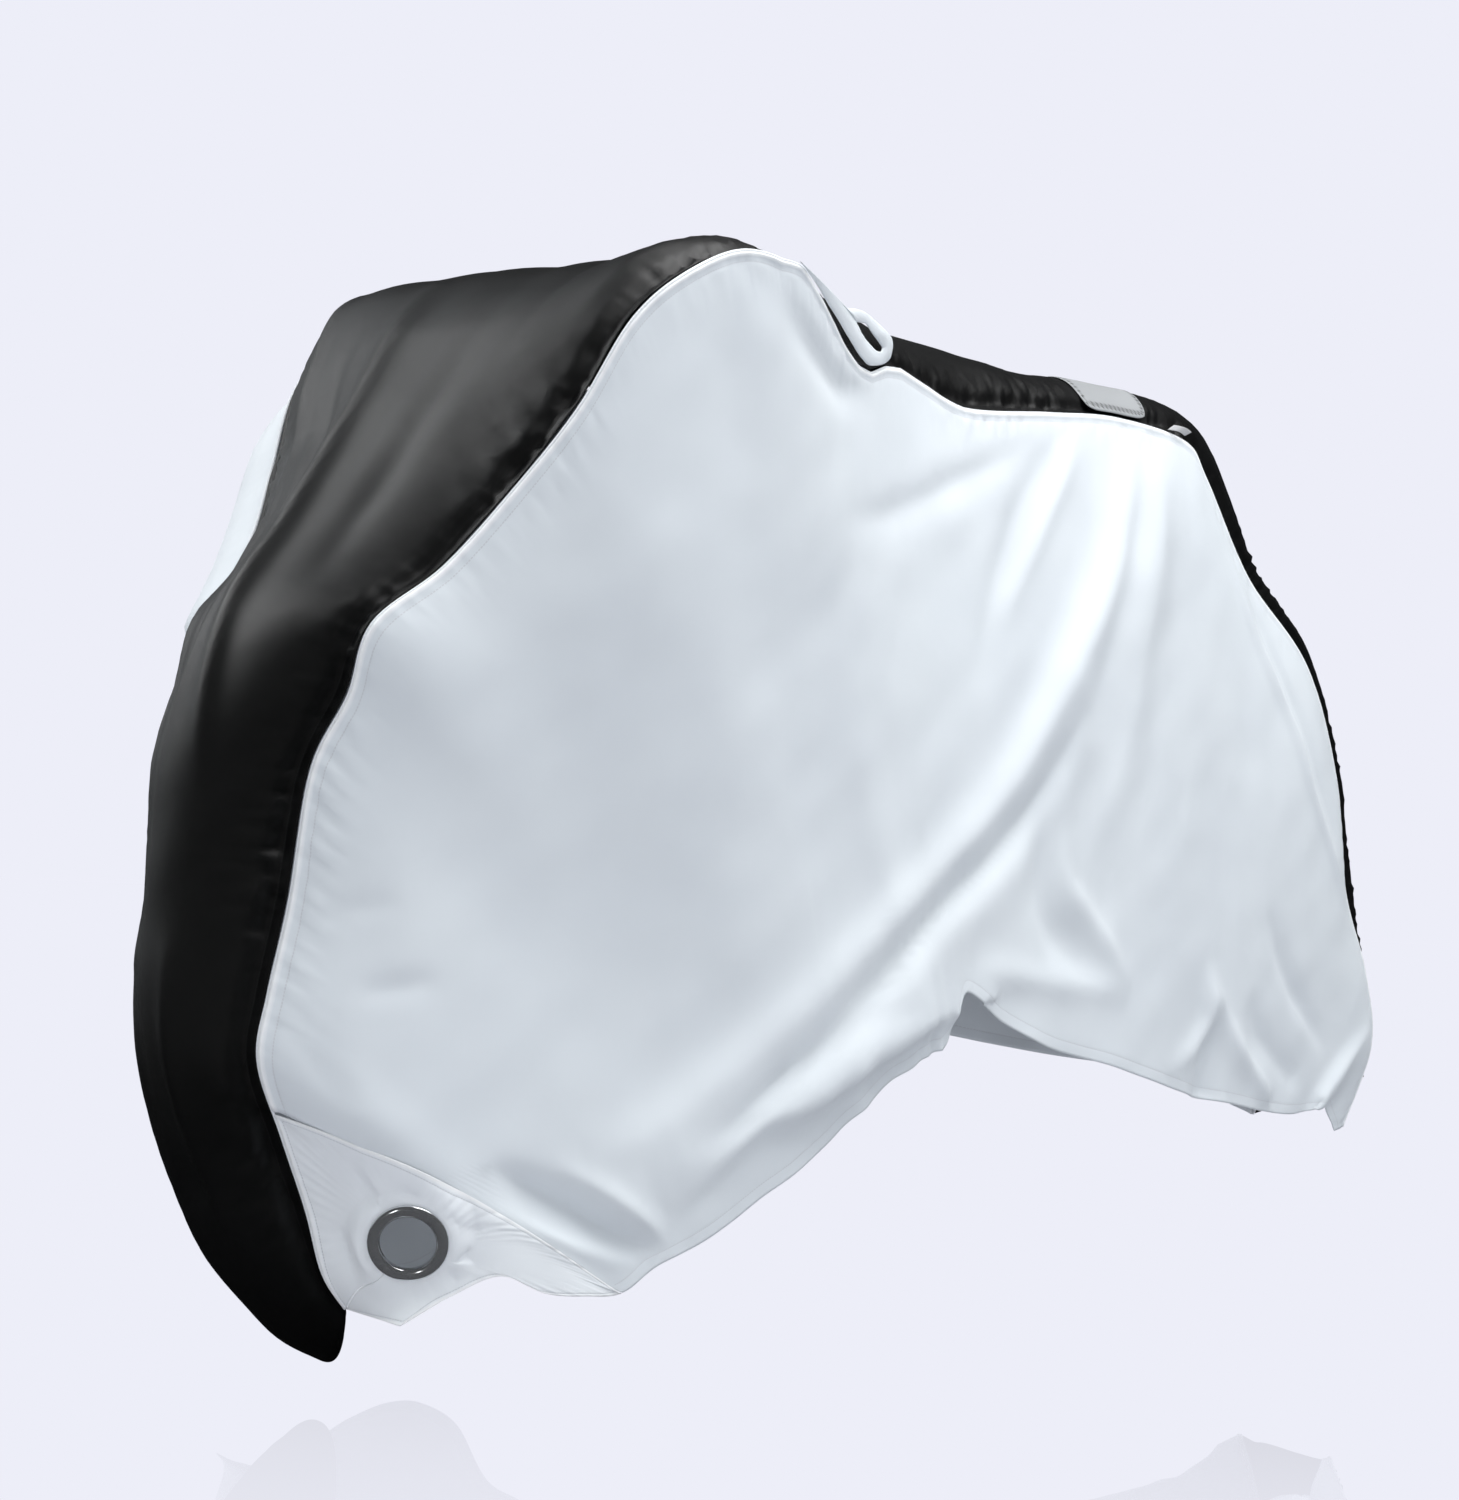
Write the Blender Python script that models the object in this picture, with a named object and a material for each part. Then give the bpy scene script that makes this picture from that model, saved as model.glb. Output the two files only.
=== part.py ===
"""Fitted bicycle cover: two silver side panels, a black gusset between them, piping in both seams.

The cover hangs in its own shape. X runs along its length with the front at -X, Z is up, and the near side
is at -Y. The sections below are laid out from the floor up, and the whole cover is then moved so that the
origin is the point under its top from which it is held.
"""

import math
from collections import namedtuple

import bmesh
import bpy
import numpy as np

for leftover in list(bpy.data.objects):
    bpy.data.objects.remove(leftover, do_unlink=True)

# ---------------------------------------------------------------- driving dimensions, in metres
HOLD_X = 0.400  # where the cover is held, along its length
HOLD_Z = 1.166  # height of that point over the floor, just under the gusset
CLOTH = 0.002  # thickness of panels and gusset
PATCH_CLOTH = 0.0012  # thickness of the reflective patch
LAY_GAP = 0.0004  # between the gusset and the patch sewn on it
PIPING_RADIUS = 0.0022
SEAM_GAP = 0.0028  # from the piping's axis to the edge of a sheet
STITCH_GAP = 0.0005  # between the near panel and the lock strip
EYELET_OUTER = 0.0385
EYELET_INNER = 0.0265
EYELET_THICK = 0.0072
EYELET_GROOVE = 0.0028  # width of the groove that grips the cloth
CLOTH_HOLE = 0.0310  # radius of the hole in the cloth
GROOVE_ROOT = 0.0288  # radius of the groove's floor
FLAT_RADIUS = 0.0400  # the cloth stays flat out to here round the eyelet
BLEND_RADIUS = 0.0560  # and follows the panel from here on
# Power of the gusset's cross-section by section number, on its near and far half: 1 is taut and straight, 2 an
# ellipse, more is boxy.
NEAR_ROUND = [(0, 2.2), (1, 1.9), (7, 1.9), (8, 2.2), (11, 2.6), (12, 3.2), (13, 4.0), (15, 5.0), (16, 4.5), (17, 3.4),
              (18, 2.6), (19, 2.2)]
FAR_ROUND = [(0, 2.2), (1, 1.5), (7, 1.5), (8, 1.2), (9, 1.1), (12, 1.2), (13, 2.4), (14, 4.5), (16, 4.5), (17, 3.5),
             (18, 2.6), (19, 2.2)]
# The front peak's top line is uneven: how far it lies over the plain cross-section at each distance across, and
# how much of that each section has.
TOP_LINE = [(-1.0, 0.0), (-0.92, 0.002), (-0.85, 0.006), (-0.76, -0.004), (-0.63, -0.016), (-0.41, -0.014),
            (-0.05, -0.002), (0.29, 0.008), (0.53, 0.015), (0.70, 0.019), (0.85, 0.014), (1.0, 0.0)]
TOP_LINE_REACH = [(11.8, 0.0), (13.0, 0.7), (13.6, 1.0), (15.4, 1.0), (16.8, 0.0)]
FAR_DRAWN_IN = [(9.5, 0.0), (11.0, 0.018), (13.0, 0.018), (14.5, 0.0)]  # the far seam lies this much further in
# Where the far panel stands out beside its seam, over the low end of the front peak, and how far: X and Y.
SHOULDER = [(8.2, 0.0), (9.4, 1.0), (12.8, 1.0), (13.8, 0.0)]
SHOULDER_OUT = (-0.050, 0.070)
BELLY_AT = 0.22  # where a side panel stands out most, as a share of its drop
CROWDING = 1.35  # how strongly the gusset's grid lines crowd towards its seams, in radians

# ---------------------------------------------------------------- one row for each section, front hem to rear hem
# x, z, half: where the seam lies and half the gusset's width there.  mid_x, mid_z: the gusset's middle line.
# hem_x, hem_z, hem_y: the point of the near hem that the section runs to.  far_z: height of the far hem.
# belly: how far the panel swells past a straight drop.  settle: share of the drop in which it reaches hem_y.
Section = namedtuple("Section", "name x z half mid_x mid_z hem_x hem_z hem_y far_z belly settle")
SECTIONS = [
    Section("front_hem", -0.742, 0.096, 0.080, -0.715, 0.030, -0.735, 0.093, 0.165, 0.095, 0.000, 0.90),
    Section("toe_low", -0.771, 0.132, 0.083, -0.775, 0.062, -0.692, 0.121, 0.185, 0.112, 0.000, 0.60),
    Section("toe_mid", -0.795, 0.194, 0.086, -0.838, 0.130, -0.648, 0.139, 0.200, 0.125, 0.004, 0.45),
    Section("toe_high", -0.828, 0.264, 0.090, -0.882, 0.207, -0.598, 0.120, 0.205, 0.108, 0.010, 0.34),
    Section("nose_low", -0.861, 0.336, 0.095, -0.924, 0.312, -0.550, 0.114, 0.205, 0.086, 0.016, 0.26),
    Section("nose_mid", -0.857, 0.398, 0.100, -0.936, 0.400, -0.503, 0.113, 0.200, 0.072, 0.020, 0.24),
    Section("nose_high", -0.845, 0.486, 0.108, -0.935, 0.490, -0.460, 0.137, 0.200, 0.076, 0.024, 0.24),
    Section("brow_low", -0.840, 0.607, 0.125, -0.930, 0.605, -0.409, 0.155, 0.200, 0.106, 0.030, 0.30),
    Section("brow", -0.823, 0.678, 0.155, -0.914, 0.690, -0.364, 0.177, 0.200, 0.172, 0.036, 0.45),
    Section("brow_top", -0.817, 0.744, 0.180, -0.880, 0.770, -0.318, 0.205, 0.200, 0.200, 0.042, 0.70),
    Section("rise_low", -0.762, 0.801, 0.210, -0.822, 0.846, -0.271, 0.232, 0.200, 0.226, 0.048, 0.90),
    Section("rise_mid", -0.716, 0.876, 0.250, -0.768, 0.922, -0.233, 0.256, 0.200, 0.250, 0.046, 1.00),
    Section("rise_high", -0.677, 0.953, 0.290, -0.724, 0.994, -0.200, 0.280, 0.200, 0.268, 0.036, 1.00),
    Section("rise_top", -0.640, 1.042, 0.320, -0.676, 1.074, -0.171, 0.297, 0.200, 0.282, 0.020, 1.00),
    Section("peak_front", -0.587, 1.095, 0.335, -0.610, 1.136, -0.141, 0.315, 0.195, 0.292, 0.008, 1.00),
    Section("peak_back", -0.513, 1.130, 0.330, -0.505, 1.160, -0.110, 0.326, 0.190, 0.300, 0.004, 1.00),
    Section("fall_high", -0.418, 1.130, 0.300, -0.400, 1.164, -0.088, 0.336, 0.190, 0.304, 0.000, 1.00),
    Section("fall_low", -0.289, 1.098, 0.230, -0.270, 1.168, -0.063, 0.344, 0.185, 0.306, 0.000, 1.00),
    Section("dip", -0.132, 1.095, 0.150, -0.120, 1.173, -0.041, 0.354, 0.180, 0.308, 0.004, 1.00),
    Section("sag", 0.001, 1.083, 0.120, 0.030, 1.178, -0.018, 0.410, 0.175, 0.308, 0.006, 1.00),
    Section("sag_end", 0.176, 1.108, 0.095, 0.185, 1.175, 0.055, 0.378, 0.170, 0.306, 0.010, 1.00),
    Section("crest_front", 0.309, 1.124, 0.085, 0.325, 1.179, 0.144, 0.347, 0.160, 0.300, 0.012, 0.90),
    Section("crest_back", 0.454, 1.118, 0.075, 0.478, 1.179, 0.272, 0.322, 0.150, 0.290, 0.014, 0.80),
    Section("drop_high", 0.502, 1.075, 0.075, 0.572, 1.128, 0.360, 0.302, 0.140, 0.280, 0.016, 0.70),
    Section("drop_mid", 0.597, 0.958, 0.080, 0.655, 0.985, 0.451, 0.281, 0.130, 0.270, 0.018, 0.60),
    Section("drop_low", 0.727, 0.855, 0.085, 0.778, 0.872, 0.538, 0.268, 0.125, 0.262, 0.018, 0.50),
    Section("tail_high", 0.802, 0.704, 0.085, 0.852, 0.710, 0.611, 0.256, 0.120, 0.256, 0.016, 0.45),
    Section("tail_mid", 0.832, 0.551, 0.085, 0.889, 0.555, 0.678, 0.250, 0.115, 0.252, 0.012, 0.45),
    Section("tail_low", 0.873, 0.441, 0.085, 0.925, 0.444, 0.724, 0.253, 0.110, 0.252, 0.008, 0.50),
    Section("tail_end", 0.901, 0.337, 0.080, 0.944, 0.332, 0.766, 0.257, 0.100, 0.250, 0.004, 0.60),
    Section("rear_hem", 0.848, 0.249, 0.075, 0.930, 0.208, 0.809, 0.256, 0.085, 0.246, 0.000, 0.90),
]

# ---------------------------------------------------------------- main folds of the side panels
# Each runs along its points (x, z); width is half its breadth and height how far it stands out, a valley
# being negative.
Fold = namedtuple("Fold", "name width height points")
NEAR_FOLDS = [
    Fold("long_ridge", 0.060, 0.026, [(0.25, 1.06), (0.14, 0.76), (-0.03, 0.55), (-0.22, 0.40), (-0.48, 0.26)]),
    Fold("long_valley", 0.045, -0.020, [(0.20, 0.70), (0.02, 0.50), (-0.14, 0.36), (-0.26, 0.27)]),
    Fold("hem_lobe", 0.040, 0.014, [(0.02, 0.40), (-0.18, 0.28), (-0.38, 0.18)]),
    Fold("fan_broad", 0.038, 0.018, [(0.30, 1.08), (0.29, 0.86), (0.20, 0.66), (0.09, 0.54)]),
    Fold("fan_narrow", 0.022, 0.010, [(0.24, 1.08), (0.15, 0.96), (0.07, 0.84)]),
    Fold("rear_crease", 0.026, -0.014, [(0.45, 1.08), (0.52, 0.93), (0.60, 0.80), (0.68, 0.68), (0.73, 0.58)]),
    Fold("rear_fold", 0.030, 0.010, [(0.40, 1.05), (0.45, 0.85), (0.50, 0.65), (0.55, 0.45)]),
    Fold("cowl_valley", 0.034, -0.016, [(0.22, 0.68), (0.29, 0.54), (0.35, 0.42)]),
    Fold("front_trough", 0.036, -0.012, [(-0.66, 0.26), (-0.52, 0.22), (-0.40, 0.17)]),
    Fold("cross_fold", 0.030, 0.012, [(-0.36, 0.90), (-0.10, 0.98), (0.16, 1.04)]),
    Fold("peak_drop", 0.040, -0.018, [(-0.40, 1.06), (-0.30, 0.98), (-0.16, 0.92)]),
    Fold("shoulder_fold", 0.045, 0.012, [(-0.60, 1.00), (-0.62, 0.80), (-0.58, 0.62), (-0.50, 0.46)]),
]
FAR_FOLDS = [
    Fold("far_ridge", 0.055, 0.020, [(0.30, 1.02), (0.16, 0.78), (-0.02, 0.56), (-0.26, 0.38)]),
    Fold("far_valley", 0.050, -0.016, [(0.34, 0.90), (0.26, 0.66), (0.10, 0.46)]),
    Fold("far_rear", 0.040, 0.014, [(0.46, 1.04), (0.52, 0.80), (0.56, 0.50)]),
    Fold("far_front", 0.050, 0.014, [(-0.56, 1.02), (-0.58, 0.78), (-0.50, 0.50)]),
]
# Folds of the gusset: the same, with the distance across in place of the height, and along as a section number.
GUSSET_FOLDS = [
    Fold("bright_ridge", 0.10, 0.012, [(14.0, 0.72), (11.5, 0.70), (9.0, 0.66), (7.6, 0.50)]),
    Fold("middle_ridge", 0.10, 0.010, [(13.6, 0.10), (11.5, 0.02), (9.4, -0.16), (8.0, -0.30)]),
    Fold("middle_valley", 0.10, -0.010, [(13.2, 0.42), (11.0, 0.38), (9.0, 0.24), (7.8, 0.10)]),
    Fold("near_valley", 0.10, -0.008, [(13.4, -0.40), (11.0, -0.46), (9.2, -0.60)]),
    Fold("toe_dent", 0.22, -0.006, [(5.0, 0.30), (3.0, -0.20)]),
    Fold("sag_dip", 0.30, -0.008, [(19.0, 0.10), (20.0, 0.00)]),
]

# ---------------------------------------------------------------- grids of the solids
SEAM_COLUMNS = 68  # columns that every sheet and both pipings share, so that their edges run side by side
NEAR_ROWS, FAR_ROWS, GUSSET_ROWS = 17, 10, 9
PIPING_SIDES = 6
EYELET_STEPS = 28
STRIP_RINGS = 7
STRIP_HEM_STEPS, STRIP_FRONT_STEPS = 14, 4
LINE_STEPS = 3  # steps of the stitch line for each shared column
STRIP_HEM_CROWDING = 1.6  # the hem's steps crowd towards the eyelet
# The lock strip: the share of each section's drop at which the stitch line crosses it.
STITCH_LINE = [(3.0, 0.00), (3.4, 0.30), (4.0, 0.62), (4.5, 0.83), (5.0, 1.00)]
EYELET_SECTION, EYELET_SHARE = 2.0, 0.47
# The reflective patch, as the gusset columns and rows that it covers.
PATCH_SECTIONS = (20.60, 21.70)
PATCH_ACROSS = (-0.90, 0.10)


# %% Curves through the table
def catmull(values, at):
    """The smooth curve through the rows of values, read at fractional row numbers."""
    rows = np.asarray(values, float)
    last = len(rows) - 1
    base = np.clip(np.floor(at).astype(int), 0, last - 1)
    part = (np.asarray(at, float) - base)[..., None] if rows.ndim > 1 else np.asarray(at, float) - base
    before, start = rows[np.maximum(base - 1, 0)], rows[base]
    end, after = rows[base + 1], rows[np.minimum(base + 2, last)]
    return start + 0.5 * part * (end - before + part * (
        2 * before - 5 * start + 4 * end - after + part * (3 * (start - end) + after - before)))


def shared_columns():
    """Section numbers that share out the seam's length evenly, two of them moved to the stitch line's ends."""
    numbers = np.array([row[1:] for row in SECTIONS])
    fine = np.linspace(0, len(SECTIONS) - 1, 1200)
    x, z, half = catmull(numbers, fine)[:, :3].T
    length = np.concatenate([[0], np.cumsum(np.hypot(np.hypot(np.diff(x), np.diff(z)), np.diff(half)))])
    at = np.interp(np.linspace(0, length[-1], SEAM_COLUMNS), length, fine)
    for end in (STITCH_LINE[0][0], STITCH_LINE[-1][0]):
        at[np.argmin(np.abs(at - end))] = end
    return at, catmull(numbers, at)


COLUMNS, COLUMN_VALUES = shared_columns()
LAST = len(SECTIONS) - 1


def section_values(at):
    """The table's values at a section number, straight from one shared column to the next."""
    return {name: np.interp(at, COLUMNS, COLUMN_VALUES[:, k]) for k, name in enumerate(Section._fields[1:])}


def along_pairs(at, pairs):
    """Reads a short list of (place, value) pairs, straight between them."""
    return np.interp(at, [place for place, _ in pairs], [value for _, value in pairs])


def seam_half(at, side):
    """Distance of a seam from the middle plane."""
    return section_values(at)["half"] - (along_pairs(at, FAR_DRAWN_IN) if side > 0 else 0.0)


def fold_height(folds, first, second):
    """How far the folds push the cloth out at each place."""
    total = np.zeros(np.shape(first))
    for fold in folds:
        best = np.zeros(np.shape(first))
        for (a1, a2), (b1, b2) in zip(fold.points, fold.points[1:]):
            run1, run2 = b1 - a1, b2 - a2
            share = np.clip(((first - a1) * run1 + (second - a2) * run2) / (run1 ** 2 + run2 ** 2), 0, 1)
            away = np.hypot(first - a1 - share * run1, second - a2 - share * run2)
            best = np.maximum(best, np.exp(-((away / fold.width) ** 2)))
        total = total + fold.height * best
    return total


def panel_point(at, drop, side):
    """Places on a side panel: at is the section number, drop runs from 0 at the seam to 1 at the hem."""
    at, drop = np.broadcast_arrays(np.asarray(at, float), np.asarray(drop, float))
    row = section_values(at)
    hem_z = row["hem_z"] if side < 0 else row["far_z"]
    x = row["x"] + (row["hem_x"] - row["x"]) * drop
    z = row["z"] + (hem_z - row["z"]) * drop
    settled = (1 - np.exp(-drop / row["settle"])) / (1 - np.exp(-1 / row["settle"]))
    swell = row["belly"] * drop / BELLY_AT * np.exp(1 - drop / BELLY_AT)
    half = seam_half(at, side)
    depth = half + (row["hem_y"] - half) * settled + swell
    if side > 0:
        stand = along_pairs(at, SHOULDER) * (1 - np.exp(-((drop / 0.05) ** 2))) * np.exp(-((drop / 0.30) ** 2))
        x = x + SHOULDER_OUT[0] * stand
        depth = depth + SHOULDER_OUT[1] * stand
    folds = NEAR_FOLDS if side < 0 else FAR_FOLDS
    calm = 1 - np.exp(-((drop / 0.10) ** 2))
    depth = depth + calm * fold_height(folds, x, z)
    return np.stack([x, side * depth, z], -1)


def gusset_point(at, across):
    """Places on the gusset: across runs from -1 at the near seam to 1 at the far seam."""
    at, across = np.broadcast_arrays(np.asarray(at, float), np.asarray(across, float))
    row = section_values(at)
    power = np.where(across < 0, along_pairs(at, NEAR_ROUND), along_pairs(at, FAR_ROUND))
    crown = 1 - np.abs(across) ** power
    out_x, out_z = row["mid_x"] - row["x"], row["mid_z"] - row["z"]
    reach = np.hypot(out_x, out_z)
    crown = crown * (1 + fold_height(GUSSET_FOLDS, at, across) / reach)
    half = np.where(across < 0, seam_half(at, -1), seam_half(at, 1))
    lift = along_pairs(across, TOP_LINE) * along_pairs(at, TOP_LINE_REACH)
    return np.stack([row["x"] + out_x * crown, half * across, row["z"] + out_z * crown + lift], -1)


def seam_point(at, side):
    row = section_values(at)
    return np.stack([row["x"], side * seam_half(at, side), row["z"]], -1)


def shares_clear_of(edge, surface, at, gap, start, towards):
    """For each section, the share of the surface that is a gap away from the line that edge(at) runs along."""
    nudge = 1e-3
    line = edge(np.clip(at + nudge, 0, LAST)) - edge(np.clip(at - nudge, 0, LAST))
    line = line / np.linalg.norm(line, axis=-1, keepdims=True)
    share = np.full(len(at), 0.01)
    for _ in range(12):
        arm = surface(at, start + towards * share) - edge(at)
        arm = arm - (arm * line).sum(-1, keepdims=True) * line
        share = share * gap / np.linalg.norm(arm, axis=-1)
    return start + towards * share


def panel_start(at, side):
    """The share of each section's drop at which a side panel begins, clear of the seam's piping."""
    return shares_clear_of(lambda a: seam_point(a, side), lambda a, s: panel_point(a, s, side), at, SEAM_GAP, 0.0, 1.0)


# %% Solids from sheets
def grid_faces(columns, rows, closed=False):
    """Quads of a grid whose points are numbered along the rows of each column."""
    faces = []
    for i in range(columns if closed else columns - 1):
        for j in range(rows - 1):
            here, there = i * rows + j, ((i + 1) % columns) * rows + j
            faces.append((here, there, there + 1, here + 1))
    return faces


def vertex_normals(points, faces):
    points = np.asarray(points)
    normals = np.zeros_like(points)
    for face in faces:
        a, b, c, d = points[list(face)]
        normals[list(face)] += np.cross(c - a, d - b)
    return normals / np.linalg.norm(normals, axis=1, keepdims=True)


def lifted_sheet(points, normals, faces, low, high):
    """A closed sheet between two offsets along given normals, high being the outer one."""
    count = len(points)
    both = np.concatenate([points + normals * high, points + normals * low])
    edges = {edge for face in faces for edge in zip(face, face[1:] + face[:1])}
    rim = sorted((b, a, a + count, b + count) for a, b in edges if (b, a) not in edges)
    under = [tuple(v + count for v in face[::-1]) for face in faces]
    return both, faces + under + rim


def thick_sheet(points, faces, outward, low, high):
    """The same, along the sheet's own normals on the side of outward."""
    normals = vertex_normals(points, faces)
    if (normals * outward).sum() < 0:
        normals = -normals
    return lifted_sheet(points, normals, faces, low, high)


def tube(centres, radius, sides, up):
    """A closed tube of flat-sided section along a row of centres, with filled ends."""
    centres = np.asarray(centres)
    along = np.gradient(centres, axis=0)
    along /= np.linalg.norm(along, axis=1, keepdims=True)
    first = np.cross(along, up)
    first /= np.linalg.norm(first, axis=1, keepdims=True)
    second = np.cross(along, first)
    turns = np.arange(sides) * 2 * math.pi / sides
    rings = centres[:, None] + radius * (
        np.cos(turns)[None, :, None] * first[:, None] + np.sin(turns)[None, :, None] * second[:, None])
    faces = []
    for i in range(len(centres) - 1):
        for j in range(sides):
            k = (j + 1) % sides
            faces.append((i * sides + j, i * sides + k, (i + 1) * sides + k, (i + 1) * sides + j))
    last = (len(centres) - 1) * sides
    faces += [tuple(range(sides))[::-1], tuple(last + j for j in range(sides))]
    return rings.reshape(-1, 3), faces


# %% Objects and materials
def material(name, colour, roughness, metallic=0.0):
    finish = bpy.data.materials.new(name)
    finish.use_nodes = True
    shader = finish.node_tree.nodes["Principled BSDF"]
    shader.inputs["Base Color"].default_value = (*colour, 1.0)
    shader.inputs["Roughness"].default_value = roughness
    shader.inputs["Metallic"].default_value = metallic
    return finish


def add_object(name, points, faces, finish, smooth_angle=math.radians(50)):
    """One closed object at the held origin, faces turned outwards and split into triangles."""
    mesh = bpy.data.meshes.new(name)
    shifted = np.asarray(points) - np.array([HOLD_X, 0.0, HOLD_Z])
    mesh.from_pydata(shifted.tolist(), [], [tuple(int(v) for v in face) for face in faces])
    work = bmesh.new()
    work.from_mesh(mesh)
    bmesh.ops.recalc_face_normals(work, faces=work.faces)
    bmesh.ops.triangulate(work, faces=work.faces)
    work.to_mesh(mesh)
    work.free()
    mesh.shade_smooth()
    mesh.set_sharp_from_angle(angle=smooth_angle)
    mesh.materials.append(finish)
    made = bpy.data.objects.new(name, mesh)
    bpy.context.collection.objects.link(made)
    return made


# %% The lock strip's outline, hole and flat round the eyelet
def stitch_share(at):
    """Where the stitch line crosses a section, as a share of its drop."""
    return np.interp(at, [place for place, _ in STITCH_LINE], [share for _, share in STITCH_LINE])


def eyelet_frame():
    """Centre and three directions of the eyelet: along the cloth, up the cloth and out of it."""
    step = 0.02
    middle = panel_point(EYELET_SECTION, EYELET_SHARE, -1)
    down = panel_point(EYELET_SECTION, EYELET_SHARE + step, -1) - panel_point(EYELET_SECTION, EYELET_SHARE - step, -1)
    over = panel_point(EYELET_SECTION + step, EYELET_SHARE, -1) - panel_point(EYELET_SECTION - step, EYELET_SHARE, -1)
    out = np.cross(down, over)
    out /= np.linalg.norm(out)
    out = out if out[1] < 0 else -out
    level = np.cross(np.array([0.0, 0.0, 1.0]), out)
    level /= np.linalg.norm(level)
    return middle, level, np.cross(out, level), out


def place_on_panel(target, guess):
    """The section number and share of the panel's point that is nearest to target."""
    spot = np.array(guess, float)
    for _ in range(12):
        here = panel_point(spot[0], spot[1], -1)
        step = 1e-3
        slope = np.stack([(panel_point(spot[0] + step, spot[1], -1) - here) / step,
                          (panel_point(spot[0], spot[1] + step, -1) - here) / step], 1)
        spot = spot + np.linalg.lstsq(slope, target - here, rcond=None)[0]
        spot = np.clip(spot, [0, 0], [LAST, 1])
    return spot


def line_columns():
    """Section numbers at which both the near panel and the lock strip meet along the stitch line."""
    start, end = STITCH_LINE[0][0], STITCH_LINE[-1][0]
    between = COLUMNS[(COLUMNS >= start) & (COLUMNS <= end)]
    places = np.linspace(0, len(between) - 1, (len(between) - 1) * LINE_STEPS + 1)
    fine = np.interp(places, np.arange(len(between)), between)
    fine[0], fine[-1] = start + 0.05, end - 0.04
    return fine


def lock_outline():
    """Points round the lock strip, as section numbers and shares: seam, stitch line, hem and front edge."""
    seam = COLUMNS[COLUMNS <= STITCH_LINE[0][0]]
    seam_share = panel_start(seam, -1)
    line = line_columns()
    hem = line[-1] * np.linspace(1, 0, STRIP_HEM_STEPS) ** STRIP_HEM_CROWDING
    front = np.linspace(1, seam_share[0], STRIP_FRONT_STEPS + 1)[1:-1]
    return np.concatenate([
        np.stack([seam, seam_share], 1),
        np.stack([line, stitch_share(line)], 1),
        np.stack([hem, np.ones(len(hem))], 1),
        np.stack([np.zeros(len(front)), front], 1),
    ])


def lock_sheet(rings):
    """The lock strip's sheet, as spokes from the hole to the outline; flat where the eyelet grips it."""
    middle, level, rise, _ = eyelet_frame()
    points = []
    outline = lock_outline()
    for outer in outline:
        reach = panel_point(outer[0], outer[1], -1) - middle
        turn = math.atan2(reach @ rise, reach @ level)
        spoke = math.cos(turn) * level + math.sin(turn) * rise
        inner = place_on_panel(middle + CLOTH_HOLE * spoke, (EYELET_SECTION, EYELET_SHARE))
        length = np.linalg.norm(reach)
        flat_share = (FLAT_RADIUS - CLOTH_HOLE) / (length - CLOTH_HOLE)
        shares = np.concatenate([[0, 0.5 * flat_share], np.linspace(flat_share, 1, rings - 1)])
        for share in shares:
            spot = inner + share * (outer - inner)
            loose = panel_point(spot[0], spot[1], -1)
            radius = CLOTH_HOLE + share * (length - CLOTH_HOLE)
            blend = np.clip((radius - FLAT_RADIUS) / (BLEND_RADIUS - FLAT_RADIUS), 0, 1)
            blend = blend * blend * (3 - 2 * blend)
            points.append(blend * loose + (1 - blend) * (middle + radius * spoke))
    return np.array(points), grid_faces(len(outline), rings + 1, closed=True)


# %% The pieces
def build_near_panel(finish):
    end = STITCH_LINE[-1][0]
    at = np.concatenate([line_columns(), COLUMNS[COLUMNS >= end]])
    begin = panel_start(at, -1)
    above_line = shares_clear_of(lambda a: panel_point(a, stitch_share(a), -1), lambda a, s: panel_point(a, s, -1),
                                 at, STITCH_GAP, stitch_share(at), -1.0)
    finish_share = np.where(at < end, above_line, 1.0)
    drop = begin[:, None] + (finish_share - begin)[:, None] * np.linspace(0, 1, NEAR_ROWS)[None, :]
    points = panel_point(at[:, None], drop, -1).reshape(-1, 3)
    solid = thick_sheet(points, grid_faces(len(at), NEAR_ROWS), np.array([0, -1, 0]), -CLOTH / 2, CLOTH / 2)
    return add_object("panel_near", *solid, finish)


def build_far_panel(finish):
    begin = panel_start(COLUMNS, 1)
    drop = begin[:, None] + (1 - begin)[:, None] * np.linspace(0, 1, FAR_ROWS)[None, :]
    points = panel_point(COLUMNS[:, None], drop, 1).reshape(-1, 3)
    solid = thick_sheet(points, grid_faces(SEAM_COLUMNS, FAR_ROWS), np.array([0, 1, 0]), -CLOTH / 2, CLOTH / 2)
    return add_object("panel_far", *solid, finish)


def gusset_grid():
    """Points of the gusset and the outward normals there, as columns of points from seam to seam."""
    near = shares_clear_of(lambda a: seam_point(a, -1), gusset_point, COLUMNS, SEAM_GAP, -1.0, 1.0)
    far = shares_clear_of(lambda a: seam_point(a, 1), gusset_point, COLUMNS, SEAM_GAP, 1.0, -1.0)
    spread = np.sin(np.linspace(-1, 1, GUSSET_ROWS) * CROWDING) / math.sin(CROWDING)
    across = near[:, None] + (far - near)[:, None] * (spread[None, :] + 1) / 2
    points = gusset_point(COLUMNS[:, None], across)
    flat = points.reshape(-1, 3)
    normals = vertex_normals(flat, grid_faces(SEAM_COLUMNS, GUSSET_ROWS))
    if (normals * (flat - flat.mean(axis=0))).sum() < 0:
        normals = -normals
    return across, points, normals.reshape(points.shape)


def build_gusset(finish):
    _, points, normals = gusset_grid()
    faces = grid_faces(SEAM_COLUMNS, GUSSET_ROWS)
    solid = thick_sheet(points.reshape(-1, 3), faces, normals.reshape(-1, 3), -CLOTH / 2, CLOTH / 2)
    return add_object("gusset", *solid, finish)


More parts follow.
